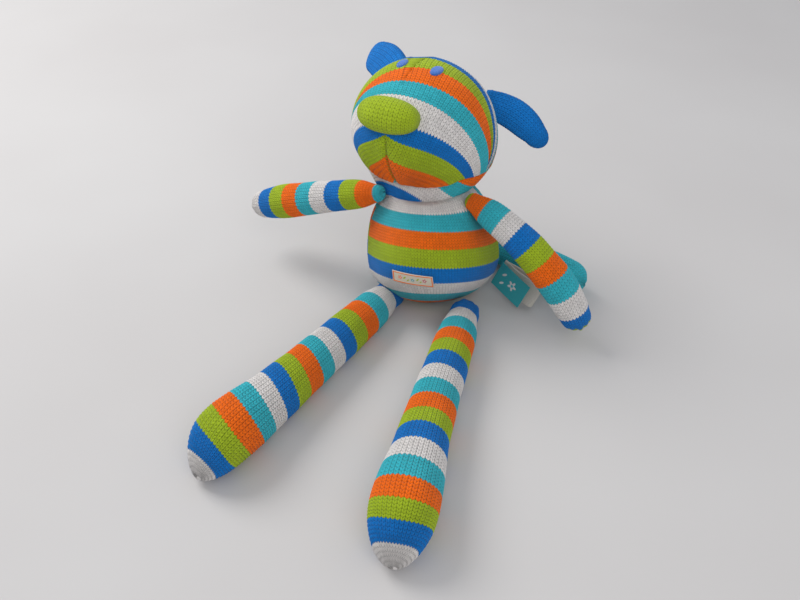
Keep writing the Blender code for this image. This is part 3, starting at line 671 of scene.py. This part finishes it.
def offset_half(piece, last_wale, courses):
    """The back panel was cut a few rows further along the stripes than the front panel."""
    layer = piece.data.uv_layers["stitch"]
    uv = values(layer.data, "uv", 2)
    starts, totals = (values(piece.data.polygons, key, kind=np.int32) for key in ("loop_start", "loop_total"))
    middle = np.add.reduceat(uv[:, 0], starts) / totals
    chosen = np.repeat(middle < last_wale, totals)
    uv[chosen, 1] += courses
    layer.data.foreach_set("uv", uv.ravel())


# ---------------------------------------------------------------- head
HEAD_FRAME = np.array(
    Matrix.Rotation(HEAD_TURN, 3, "Z") @ Matrix.Rotation(HEAD_TILT, 3, "X") @ Matrix.Rotation(HEAD_ROLL, 3, "Y")
)


def swollen(d, towards, amount, spread):
    """How much fuller the head is near a direction."""
    return amount * bell(np.arccos(np.clip(d @ unit(towards), -1, 1)), spread)


def from_nose(d):
    """The angle of directions in the head's axes from the nose."""
    return np.arccos(np.clip(-d[..., 1], -1, 1))


def head_point(direction, out=0.0):
    """The head's surface along directions in its own axes, moved outwards."""
    d = unit(direction)
    muzzle = (0, -math.cos(MUZZLE_ANGLE), math.sin(MUZZLE_ANGLE))
    mirrored = np.stack([np.abs(d[..., 0]), d[..., 1], d[..., 2]], -1)
    size = 1 + swollen(d, muzzle, MUZZLE_SWELL, MUZZLE_SPREAD) + swollen(mirrored, CHEEK, CHEEK_SWELL, CHEEK_SPREAD)
    size = size + swollen(d, NECK, NECK_SWELL, NECK_SPREAD)
    behind = ease((from_nose(d) - seam_polar(d)) / math.radians(13))
    size = size + behind * swollen(d, COLLAR, COLLAR_SWELL, COLLAR_SPREAD)
    local = d * (HEAD_HALF * size[..., None] + np.asarray(out)[..., None])
    return HEAD_CENTRE + local @ HEAD_FRAME.T


def seam_polar(d):
    """Where the face panel ends, as an angle from the nose, for directions in the head's axes."""
    below = np.degrees(np.arctan2(-d[..., 2], np.abs(d[..., 0])))
    return np.radians(smooth(SEAM, np.maximum(below, 0)))


# Stripe edges of the face from the crown to the chin. Each is close to a flat cut through the head: its pitch
# above the nose at the middle and its lean in degrees, how far it tilts sideways, and the height of its V.
FACE_EDGES = [
    (-6, 164, 130, 0, 0), (-5, 150, 122, -0.02, 0), (-4, 136, 114, -0.05, 0), (-3, 121, 106, -0.08, 0),
    (-2, 105, 98, -0.12, 0), (-1, 88, 90, -0.17, 0), (0, 71, 82, -0.25, 0),
    (1, 47.9, 68, -0.32, 0), (2, 30.7, 50, -0.19, 0), (3, 16.9, 42, -0.085, 0), (4, -5.5, 29, -0.105, 0.03),
    (5, -15.2, 22, -0.09, 0.09), (6, -33.0, 14, -0.094, 0.11), (7, -61, 10, -0.09, 0.10), (8, -78, 7, -0.08, 0.09),
    (9, -94, 5, -0.08, 0.09),
]


def face_edge(t):
    """The plane of stripe edge t: its normal, its offset, and the strength of its V."""
    edges = np.array(FACE_EDGES, float)
    pitch, lean, tilt, vee = (np.interp(t, edges[:, 0], edges[:, k]) for k in (1, 2, 3, 4))
    pitch, lean = math.radians(pitch), math.radians(lean)
    return np.array((tilt, math.sin(lean), math.cos(lean))), math.sin(pitch - lean), vee


def step_to_edge(d, t):
    """Moves directions straight across the stripes to edge t."""
    normal, offset, vee = face_edge(t)
    for _ in range(3):
        fold = np.tanh(d[:, 0] / 0.2)
        value = d @ normal + vee * np.abs(fold) - offset
        slope = np.tile(normal, (len(d), 1))
        slope[:, 0] += vee * np.sign(fold) * (1 - fold**2) / 0.2
        slope -= d * (slope * d).sum(-1, keepdims=True)
        d = unit(d - slope * (value / (slope**2).sum(-1))[:, None])
    return d


def panel_points(directions, wale, course, inside, seed, dart=None):
    """The points of a panel of the head from a grid of directions, and which faces lie within the seam.

    inside is 1 for the panel on the nose's side of the seam and -1 for the other. The edge is drawn in.
    """
    polar = from_nose(directions)
    margin = -(polar - seam_polar(directions)) * inside * HEAD_HALF[0]
    over = margin < 0
    radial = directions * np.array((1, 0, 1))
    radial = radial / np.maximum(np.linalg.norm(radial, axis=-1, keepdims=True), 1e-9)
    new_polar = polar + np.where(over, margin / HEAD_HALF[0], 0.0) * inside
    tucked = np.stack(
        [radial[..., 0] * np.sin(new_polar), -np.cos(new_polar), radial[..., 2] * np.sin(new_polar)], -1
    )
    flat = np.where(over[..., None], tucked, directions)
    base = head_point(flat)
    n = unit(base - HEAD_CENTRE)
    out = swell(base, 0.0007, 0.024, seed)
    out = out + (stitches(wale[:, : directions.shape[1]], course) - YARN_LEVEL) * 0.0006
    out = out + 0.0004 * bell(margin - 0.004, 0.003)
    out = out - SEAM_DEPTH * bell(np.maximum(margin, 0), 0.0013)
    out = np.where(over, -SEAM_DEPTH + np.maximum(margin, -0.003) * 0.8, out)
    if dart is not None:
        out = out - dart(flat)
    points = base + n * out[..., None]
    keep = margin > -0.0035
    keep = keep[:-1] & keep[1:]
    if keep.shape[1] == wale.shape[1]:
        keep = keep[:, :-1] & keep[:, 1:]
    else:
        keep = keep & np.roll(keep, -1, axis=1)
    return points, keep


def mouth_dart(d):
    """The crease that the dart draws down the middle of the muzzle."""
    reach = np.clip((from_nose(d) - math.radians(17)) / math.radians(4), 0, 1) * (d[..., 2] < 0)
    across = np.abs(d[..., 0]) * HEAD_HALF[0]
    return reach * (SEAM_DEPTH * bell(across, 0.0013) - 0.0004 * bell(across - 0.0045, 0.003))


def make_face():
    """The face panel, grown up and down from one stripe edge; rows that would cross on a cheek stop there."""
    per = FACE_COURSES
    columns = FACE_WALES * FINE_ACROSS + 1
    normal, offset, _ = face_edge(3)
    offset = offset / np.linalg.norm(normal)
    normal = unit(normal)
    centre = normal * offset
    radius = math.sqrt(1 - offset**2)
    forward = unit(np.array((0, -1, 0)) - normal * np.dot((0, -1, 0), normal))
    sideways = np.cross(forward, normal)
    sideways = sideways * np.sign(sideways[0])
    spread = np.linspace(-2.35, 2.35, columns)
    middle = -math.asin((centre[0] + radius * forward[0]) / (radius * sideways[0]))
    start = centre + radius * (
        forward * np.cos(spread + middle)[:, None] + sideways * np.sin(spread + middle)[:, None]
    )
    steps = np.arange(-5.4 * per * FINE_ALONG, 8.4 * per * FINE_ALONG + 1).round() / (per * FINE_ALONG)
    rows = {}
    zero = int(np.argmin(np.abs(steps - 3)))
    side = np.sign(spread)
    for order, way in ((range(zero, len(steps)), -1), (range(zero, -1, -1), 1)):
        d = unit(start)
        for k in order:
            further = step_to_edge(d, steps[k])
            further[:, 0] = np.where(further[:, 0] * side < 0.0, 0.0, further[:, 0])
            crossed = ((further - d) @ face_edge(steps[k])[0] * way < 0) & (k != zero)
            d = np.where(crossed[:, None], d, unit(further))
            rows[k] = d
    directions = np.stack([rows[k] for k in range(len(steps))])
    step = np.linalg.norm(np.diff(directions, axis=0), axis=-1)
    open_rows = (step[:, 1:] > 0.0005) | (step[:, :-1] > 0.0005)
    wale, course = stitch_grid(steps * per, columns, closed=False)
    points, keep = panel_points(directions, wale, course, 1, 3, mouth_dart)
    piece = grid_mesh("head_face_knit", points, wale, course * COURSES / per, False, keep=keep & open_rows)
    face_out(piece)
    material = knit_material("face_striped_knit", CYCLE, -1, 4, 0.0006)
    stands_for(piece, material, "head", "striped_knit", "head_face_panel", "head_filling")


def make_back_of_head():
    """The back panel, knitted in level stripes round the neck's axis, which wraps under the chin."""
    neck = HEAD_FRAME.T @ unit(BACK_AXIS + np.array(BACK_PANEL_LEAN))
    east = unit(np.cross(neck, (0, -1, 0)))
    north = np.cross(neck, east)
    columns = BACK_WALES * FINE_ACROSS
    around = math.tau * np.arange(columns) / columns
    first, stripe = math.radians(-66), math.radians(13.2)
    fine = np.arange(-1.78 * COURSES * FINE_ALONG, 12.9 * COURSES * FINE_ALONG).round() / (COURSES * FINE_ALONG)
    latitude = first + fine * stripe
    latitude = latitude[latitude < math.radians(86)][::-1]
    level = (latitude - first) / stripe
    directions = neck * np.sin(latitude)[:, None, None] + (
        east * np.cos(around)[:, None] + north * np.sin(around)[:, None]
    ) * np.cos(latitude)[:, None, None]
    wale, course = stitch_grid(-level * COURSES, columns)
    points, keep = panel_points(directions, wale, course, -1, 9)
    piece = grid_mesh("head_back_knit", points, wale, course, True, keep=keep)
    face_out(piece)
    material = knit_material("back_of_head_striped_knit", CYCLE, -1, 0, 0.0006)
    stands_for(piece, material, "head", "striped_knit", "head_back_panel")


def oval_point(centre, right, up, a, b, out):
    """Points over the head at sideways and upward distances a and b from a centre direction."""
    d = centre + right * (a / HEAD_HALF[0])[..., None] + up * (b / HEAD_HALF[0])[..., None]
    return head_point(d, out)


def make_nose():
    """A stuffed oval of fine knitting."""
    centre, right, up = np.array((0, -1.0, 0)), np.array((1.0, 0, 0)), np.array((0, 0, 1.0))
    across = np.linspace(-1, 1, NOSE_WALES * FINE_ACROSS + 1)
    gamma = np.linspace(0, math.pi, NOSE_COURSES * FINE_ALONG + 1)
    a = np.tile(NOSE_HALF[0] * np.sin(across * math.pi / 2), (len(gamma), 1))
    slim = np.clip(1 - np.abs(a / NOSE_HALF[0]) ** 2.5, 0, 1) ** 0.42
    b = NOSE_HALF[1] * slim * np.cos(gamma)[:, None]
    wale, course = stitch_grid(np.arange(len(gamma)) / FINE_ALONG, len(across), closed=False)
    lift = NOSE_HEIGHT * slim**0.9 * np.sin(gamma)[:, None] ** 0.8
    lift = lift + (stitches(wale, course) - YARN_LEVEL) * 0.0004 * slim
    points = oval_point(centre, right, up, a, b, lift - 0.0004)
    piece = grid_mesh("nose_knit", points, wale, course, False)
    face_out(piece)
    material = knit_material("nose_lime_knit", [LIME], depth=0.0005)
    stands_for(piece, material, "head", "lime_knit", "nose_cover", "nose_filling")


def thread_material(name, colour, turns, sheen=0.4):
    """Twisted or satin-stitched thread: fine bright lines along it."""
    m = Nodes(name)
    across, along = m.stitch_uv()
    lines = m.math("SINE", m.times(along, turns))
    noise = m.noise(m.vector(across, m.times(along, 12.0)), 3.0, 3.0)
    shade = m.times(m.between(lines, -1, 1, 0.72, 1.1), m.between(noise, 0.3, 0.7, 0.85, 1.15))
    hue = m.node("HueSaturation", {"Color": rgba(colour), "Value": shade})
    relief = m.math("MULTIPLY_ADD", lines, 0.5, noise)
    return m.finish(hue.outputs[0], m.between(noise, 0.3, 0.7, 0.62, 0.42), relief, 0.0003, 0.8, sheen)


def make_eyes():
    """Satin-stitched ovals, with threads side by side across them."""
    fine = 4
    material = thread_material("eye_satin_thread", (0.045, 0.20, 0.72), math.tau)
    for name, side in (("left_eye", 1), ("right_eye", -1)):
        sideways = EYE_OFFSETS[side] * side
        forward = math.sqrt(1 - sideways**2)
        centre = np.array((sideways, -forward * math.cos(EYE_RISE), forward * math.sin(EYE_RISE)))
        up = unit(np.array((0, 0, 1.0)) - centre * centre[2])
        right = np.cross(up, centre)
        up, right = (
            up * math.cos(EYE_LEAN) + right * math.sin(EYE_LEAN) * side,
            right * math.cos(EYE_LEAN) - up * math.sin(EYE_LEAN) * side,
        )
        b = np.sin(np.linspace(-math.pi / 2, math.pi / 2, EYE_THREADS * fine + 1))
        a = np.linspace(-1, 1, 25)
        width = np.sqrt(np.clip(1 - b**2, 0, 1))
        grid_a = EYE_HALF[0] * width[:, None] * a
        grid_b = np.tile((EYE_HALF[1] * b)[:, None], (1, len(a)))
        crown = np.sqrt(np.clip(1 - a**2, 0, 1)) * width[:, None]
        ridge = np.abs(np.sin(math.pi * np.arange(len(b)) / fine))[:, None]
        out = -0.0004 + 0.0018 * crown**0.7 + 0.00014 * ridge * crown
        points = oval_point(centre, right, up, grid_a, grid_b, out)
        wale = np.tile(a, (len(b), 1))
        course = np.tile(np.arange(len(b))[:, None] / fine, (1, len(a)))
        piece = grid_mesh(f"{name}_satin_stitch", points, wale, course, False)
        face_out(piece)
        stands_for(piece, material, "head", "blue_thread", f"{name}_embroidery")


def strand_mesh(name, paths, radius, sides=8, closed=False):
    """Round threads along paths of points, in one mesh."""
    vertices, loops, uvs, base = [], [], [], 0
    k = np.arange(sides) / sides
    turn = math.tau * k
    for path in paths:
        path = np.asarray(path, float)
        if closed:
            tangent = unit(np.roll(path, -1, axis=0) - np.roll(path, 1, axis=0))
        else:
            tangent = unit(np.gradient(path, axis=0))
        first = unit(np.cross(tangent, (0.31, 0.87, 0.38)))
        second = np.cross(tangent, first)
        size = np.full(len(path), radius)
        if not closed:
            size[0] = size[-1] = radius * 0.25
        ring = path[:, None] + (
            first[:, None] * np.cos(turn)[:, None] + second[:, None] * np.sin(turn)[:, None]
        ) * size[:, None, None]
        vertices.append(ring.reshape(-1, 3))
        index = base + np.arange(len(path) * sides).reshape(len(path), sides)
        following = np.roll(index, -1, axis=1)
        count = len(path) if closed else len(path) - 1
        for i in range(count):
            n = (i + 1) % len(path)
            loops.append(np.stack([index[i], following[i], following[n], index[n]], -1).reshape(-1))
            corners = ((k, i), (k + 1 / sides, i), (k + 1 / sides, i + 1), (k, i + 1))
            uvs.append(np.stack([np.stack([u, k * 0 + v], -1) for u, v in corners], 1).reshape(-1, 2))
        base += len(path) * sides
    corner = np.concatenate(loops)
    return make_object(name, np.concatenate(vertices), corner, np.full(len(corner) // 4, 4), np.concatenate(uvs))


def make_mouth_stitches():
    """Small ladder stitches that close the dart below the nose."""
    paths = []
    for polar in np.radians(np.arange(*DART_DEGREES)):
        t = np.linspace(-1, 1, 7)
        across = 0.0013 * t / HEAD_HALF[0]
        lean = polar + 0.010 * t
        d = np.stack([across, -np.cos(lean), -np.sin(lean)], -1)
        paths.append(head_point(d, -0.0011 + 0.0005 * (1 - t**2)))
    piece = strand_mesh("mouth_dart_stitches", paths, 0.00022)
    material = thread_material("dart_thread", (0.33, 0.34, 0.03), math.tau * 0.5, 0.1)
    stands_for(piece, material, "head", "lime_thread", "mouth_dart_thread")


def make_neck_stitches():
    """The ring of thread that draws the neck together under the head."""
    turns = np.linspace(0, math.tau, 240, endpoint=False)
    place, size = NECK_RING
    middle, back, side = BACK.frame(place)
    wind = 0.00035
    paths = []
    for phase in (0.0, math.pi):
        radius = size + wind * np.cos(36 * turns + phase)
        lift = wind * np.sin(36 * turns + phase)
        ring = middle + (side * np.cos(turns)[:, None] + back * np.sin(turns)[:, None]) * radius[:, None]
        paths.append(ring + unit(BACK_AXIS) * lift[:, None])
    piece = strand_mesh("neck_ladder_thread", paths, 0.0004, closed=True)
    material = thread_material("neck_thread", (0.70, 0.68, 0.64), math.tau * 0.5, 0.1)
    stands_for(piece, material, "neck", "white_thread", "neck_ladder_stitch")


# ---------------------------------------------------------------- ears
def make_ears():
    material = knit_material("ears_blue_knit", [BLUE], depth=0.0004)
    for name, (direction, bend, droop) in EARS.items():
        spine = Spine(PIVOT[f"{name}_flap"], direction, droop, bend, EAR_LENGTH)
        thickness, length, tucked = EAR_THICKNESS, EAR_REACH[name], EAR_TUCK[name]
        end = length - EAR_TIP
        widths = [(s, w * EAR_FULLNESS[name]) for s, w in EAR_WIDTHS]
        rows = [
            (-tucked - thickness * math.sin(a), widths[0][1] - 0.0012 * math.sin(a), thickness * math.cos(a))
            for a in np.linspace(1.5, 0.1, 8)
        ]
        rows += [(s, float(smooth(widths, s)), thickness) for s in np.linspace(-tucked, end, 100)]
        rows += [
            (end + EAR_TIP * math.sin(a), rows[-1][1] * math.cos(a), thickness * math.cos(a) ** 0.6)
            for a in np.linspace(0.05, 1.5, 20)
        ]
        line = np.array(rows)
        arc = np.concatenate([[0], np.cumsum(np.hypot(np.diff(line[:, 0]), np.diff(line[:, 2])))])
        at = np.linspace(0, arc[-1], EAR_COURSES * FINE_ALONG + 1)
        s, wide, half = (np.interp(at, arc, line[:, k]) for k in range(3))
        columns = EAR_WALES * FINE_ACROSS
        turn = math.tau * (np.arange(columns) + 0.5) / columns
        centre, aside, third = spine.frame(s)
        slide = np.clip(1.5 * np.cos(turn), -1, 1)
        across = np.maximum(wide - half, 0)[:, None] * slide + np.minimum(wide, half)[:, None] * np.cos(turn)
        crown = 0.0011 * np.sin(np.pi * np.clip(s / length, 0, 1))[:, None] * (1 - slide**2)
        thick = half[:, None] * np.sin(turn) + crown * np.sign(np.sin(turn))
        points = centre[:, None] + aside[:, None] * across[..., None] + third[:, None] * thick[..., None]
        wale, course = stitch_grid(at / arc[-1] * EAR_COURSES, columns)
        n = normals_of(points, centre)
        shrink = np.clip(half / thickness, 0.1, 1)[:, None]
        out = (stitches(wale[:, :-1], course) - 0.5) * 0.0004 * shrink + swell(points, 0.0004, 0.010, 7) * shrink
        points = points + n * out[..., None]
        ends = points[0].mean(0), points[-1].mean(0)
        piece = grid_mesh(f"{name}_knit", points, wale, course, True, start=ends[0], end=ends[1])
        outward(piece)
        stands_for(piece, material, name, "blue_knit", f"{name}_cover", f"{name}_wadding")


# ---------------------------------------------------------------- labels
def label_mesh(name, middle, out, thickness, size):
    """A thin woven label from a grid of points and the directions its face looks in.

    Its UV map is in millimetres from its middle. Its edge is hemmed.
    """
    rows, columns = middle.shape[:2]
    v = np.linspace(-0.5, 0.5, rows)[:, None] * np.ones(columns) * size[1]
    u = np.linspace(-0.5, 0.5, columns)[None] * np.ones((rows, 1)) * size[0]
    inset = np.minimum(size[0] / 2 - np.abs(u), size[1] / 2 - np.abs(v))
    hem = bell(inset - 0.0007, 0.0004) * 0.00018
    half = thickness * 0.5 * np.clip(inset / 0.0003, 0.35, 1) + hem
    front, back = middle + out * half[..., None], middle - out * half[..., None]
    index = np.arange(rows * columns).reshape(rows, columns)
    far = rows * columns
    i, j = np.meshgrid(np.arange(rows - 1), np.arange(columns - 1), indexing="ij")
    quad = np.stack([index[i, j], index[i, j + 1], index[i + 1, j + 1], index[i + 1, j]], -1).reshape(-1, 4)
    rim = np.concatenate([index[0, :-1], index[:-1, -1], index[-1, :0:-1], index[:0:-1, 0]])
    following = np.roll(rim, -1)
    edge = np.stack([following, rim, rim + far, following + far], -1)
    loops = np.concatenate([quad, quad[:, ::-1] + far, edge]).reshape(-1)
    place = np.tile(np.stack([u, v], -1).reshape(-1, 2) * 1000, (2, 1))
    vertices = np.concatenate([front, back]).reshape(-1, 3)
    piece = make_object(name, vertices, loops, np.full(len(loops) // 4, 4), place[loops])
    outward(piece)
    return piece


def flower_mask(m, u, v, at, size):
    """Two masks, 1 inside and 0 outside: a five-petalled flower, given in millimetres, and its middle."""
    x, y = m.math("SUBTRACT", u, at[0]), m.math("SUBTRACT", v, at[1])
    far = m.math("SQRT", m.math("ADD", m.times(x, x), m.times(y, y)))
    petals = m.math("COSINE", m.times(m.math("ARCTAN2", y, x), 5.0))
    edge = m.math("MULTIPLY_ADD", petals, 0.28 * size, 0.72 * size)
    return m.between(m.math("SUBTRACT", edge, far), -0.06, 0.06), m.between(far, 0.24 * size, 0.36 * size, 1.0, 0.0)


def woven_material(name, ground, size, border, flowers, leaves):
    """Damask label cloth: fine crossing threads, a border, and small flowers and leaves woven into it."""
    m = Nodes(name)
    u, v = m.stitch_uv()
    weave = m.times(m.math("SINE", m.times(u, math.tau / 0.34)), m.math("SINE", m.times(v, math.tau / 0.26)))
    noise = m.noise(m.vector(m.times(u, 0.6), m.times(v, 4.0)), 1.3, 3.0, 0.6)
    colour = m.mix(m.between(noise, 0.3, 0.7), rgba(ground, 0.90), rgba(ground, 1.04))
    for at, length, tint in leaves:
        x, y = m.math("SUBTRACT", u, at[0]), m.math("SUBTRACT", v, at[1])
        slant = m.math("DIVIDE", m.math("ADD", x, y), length)
        narrow = m.math("DIVIDE", m.math("SUBTRACT", x, y), length * 0.42)
        inside = m.math("ADD", m.times(slant, slant), m.times(narrow, narrow))
        colour = m.mix(m.between(inside, 0.9, 1.1, 1.0, 0.0), colour, rgba(tint))
    for at, radius, tint, eye in flowers:
        petals, centre = flower_mask(m, u, v, at, radius)
        colour = m.mix(petals, colour, rgba(tint))
        colour = m.mix(centre, colour, rgba(eye))
    if border:
        side = m.math("SUBTRACT", size[0] * 500, m.math("ABSOLUTE", u))
        end = m.math("SUBTRACT", size[1] * 500, m.math("ABSOLUTE", v))
        inset = m.math("MINIMUM", side, end)
        band = m.times(m.between(inset, 0.45, 0.6), m.between(inset, 1.15, 1.3, 1.0, 0.0))
        colour = m.mix(band, colour, rgba(border))
    shade = m.times(m.between(weave, -1, 1, 0.86, 1.05), m.between(noise, 0.3, 0.7, 0.95, 1.04))
    hue = m.node("HueSaturation", {"Color": colour, "Value": shade})
    relief = m.math("MULTIPLY_ADD", weave, 0.6, noise)
    return m.finish(hue.outputs[0], m.between(noise, 0.3, 0.7, 0.72, 0.55), relief, 0.00012, 0.8, sheen=0.1)


CREAM = (0.72, 0.66, 0.54)


def make_belly_label():
    width, height = BELLY_LABEL
    middle, place = math.radians(BELLY_LABEL_PLACE[0]), BELLY_LABEL_PLACE[1]
    across = np.tile(np.linspace(-0.5, 0.5, 101) * width, (41, 1))
    along = place + np.linspace(-0.5, 0.5, 41)[:, None] * height - BELLY_LABEL_SLOPE * across
    radius = smooth(TORSO_OUTLINE, along)
    turn = middle + across / radius
    radius = radius + 0.0012
    centre, back, side = BACK.frame(along)
    away = back * np.sin(turn)[..., None] - side * np.cos(turn)[..., None]
    points = centre + away * radius[..., None]
    points = points + away * swell(points, 0.0007, 0.022, 6)[..., None]
    corner = (np.abs(across) / (width / 2)) ** 8 * 0.0004
    points = points + away * corner[..., None]
    piece = label_mesh("belly_woven_label", points, away, 0.0006, (width, height))
    flowers = [
        ((-9.0, 0.2), 1.7, ORANGE, WHITE), ((0.2, -0.3), 1.5, (0.02, 0.35, 0.42), WHITE),
        ((8.8, 0.3), 1.7, (0.55, 0.06, 0.10), WHITE),
    ]
    leaves = [((-5.6, 0.5), 1.8, LIME), ((-3.2, -0.9), 1.5, LIME), ((4.0, 0.7), 1.8, LIME), ((6.0, -1.0), 1.4, LIME)]
    material = woven_material("belly_label_weave", CREAM, BELLY_LABEL, ORANGE, flowers, leaves)
    stands_for(piece, material, "torso", "woven_label", "belly_label")


def make_side_labels():
    foot, head = (np.array(p) for p in SIDE_LABEL_ENDS)
    sewn = np.linalg.norm(head - foot)
    out = heading(-48, -16)
    aside = unit(np.cross(head - foot, out))
    edge = foot + (head - foot) * np.linspace(0, 1, 41)[:, None, None]
    far = np.linspace(0, SIDE_LABEL_LENGTH, 61)[None, :, None]
    wave = 0.0006 * np.sin(np.linspace(0, 2.6, 61))[None, :, None] * np.linspace(0.4, 1, 41)[:, None, None]
    points = edge + out * far - aside * (0.0009 + wave)
    size = (SIDE_LABEL_LENGTH, sewn)
    piece = label_mesh("side_tab_woven_label", points, np.broadcast_to(-aside, points.shape), 0.0006, size)
    flowers = [((2.0, 0.5), 4.2, WHITE, TEAL)]
    leaves = [((-8.0, 3.5), 3.2, WHITE), ((-7.0, -4.0), 3.0, WHITE)]
    material = woven_material("side_tab_weave", (0.030, 0.400, 0.450), size, None, flowers, leaves)
    stands_for(piece, material, "side_labels", "teal_label", "side_tab_label")

    out = heading(-38, -14)
    aside = unit(np.cross(head - foot, out))
    bend = CARE_LABEL_SPREAD / 2 - 0.0003
    straight = CARE_LABEL_LENGTH - CARE_LABEL_SPREAD / 2
    strip = 2 * straight + math.pi * bend
    along = np.linspace(0, strip, 181)
    angle = np.clip((along - straight) / bend, 0, math.pi)
    reach = np.where(along < straight, along, np.where(along > strip - straight, strip - along, straight))
    reach = reach + bend * np.sin(angle)
    offset = -bend * np.cos(angle)
    pinch = np.clip(reach / 0.012, 0.25, 1)
    middle = edge + aside * (0.0006 + CARE_LABEL_SPREAD / 2)
    points = middle + out * reach[None, :, None] + aside * (offset * pinch)[None, :, None]
    tangent = np.gradient(points, axis=1)
    face = unit(np.cross(tangent, head - foot))
    piece = label_mesh("side_care_woven_label", points, face, 0.0005, (strip, sewn))
    flowers = [((-14.0, 0.0), 2.2, LIME, CREAM), ((14.0, 0.0), 2.2, LIME, CREAM)]
    material = woven_material("care_label_weave", (0.74, 0.70, 0.63), (strip, sewn), None, flowers, [])
    stands_for(piece, material, "side_labels", "woven_label", "side_care_label")


# ---------------------------------------------------------------- plain threads inside, floor, light, camera
def finish_knots():
    m = Nodes("knot_thread_twist")
    place = m.node("TexCoord").outputs["Object"]
    wave = m.node("TexWave", {"Vector": place, "Scale": 900.0, "Distortion": 3.0}).outputs[1]
    colour = m.node("HueSaturation", {"Color": rgba((0.7, 0.68, 0.64)), "Value": m.between(wave, 0, 1, 0.7, 1.05)})
    made = m.finish(colour.outputs[0], 0.75, wave, 0.0002)
    for name, node in frame["nodes"].items():
        if name.endswith("_thread_knot"):
            node.data.materials.clear()
            node.data.materials.append(made)


def make_floor():
    size = 12.0
    mesh = bpy.data.meshes.new("floor")
    mesh.from_pydata([(-size, -size, 0), (size, -size, 0), (size, size, 0), (-size, size, 0)], [], [(0, 1, 2, 3)])
    floor = linked(bpy.data.objects.new("floor", mesh))
    m = Nodes("floor_paint")
    place = m.node("TexCoord").outputs["Object"]
    tone = m.noise(place, 3.0, 3.0)
    colour = m.mix(m.between(tone, 0.3, 0.7, 0.0, 1.0), rgba((0.56, 0.545, 0.54)), rgba((0.60, 0.59, 0.585)))
    floor.data.materials.append(m.finish(colour, 0.7))


def add_light(name, location, target, size, power, colour):
    data = bpy.data.lights.new(name, "AREA")
    data.shape = "DISK"
    data.size = size
    data.energy = power
    data.color = colour
    light = linked(bpy.data.objects.new(name, data))
    light.location = location
    light.rotation_euler = (Vector(target) - Vector(location)).to_track_quat("-Z", "Y").to_euler()


def make_stage():
    make_floor()
    add_light("window", (-0.9, 0.55, 1.1), (0, 0, 0.03), 0.9, 13.5, (1.0, 0.985, 0.96))
    add_light("fill", (0.3, -1.2, 1.0), (0, 0, 0.05), 1.2, 6.0, (1.0, 0.97, 0.94))
    world = bpy.data.worlds.new("room")
    bpy.context.scene.world = world
    world.use_nodes = True
    background = world.node_tree.nodes["Background"]
    background.inputs[0].default_value = (0.93, 0.95, 1.0, 1.0)
    background.inputs[1].default_value = 0.60
    data = bpy.data.cameras.new("camera")
    data.sensor_width = 36.0
    data.lens = 38.25
    camera = linked(bpy.data.objects.new("camera", data))
    camera.location = (-0.026, -0.539, 0.432)
    camera.rotation_euler = (math.radians(50), 0, 0)
    bpy.context.scene.camera = camera
    bpy.context.scene.view_settings.view_transform = "Standard"


make_stage()
make_torso()
make_face()
make_back_of_head()
make_nose()
make_eyes()
make_mouth_stitches()
make_neck_stitches()
make_ears()
make_limbs()
make_belly_label()
make_side_labels()
finish_knots()
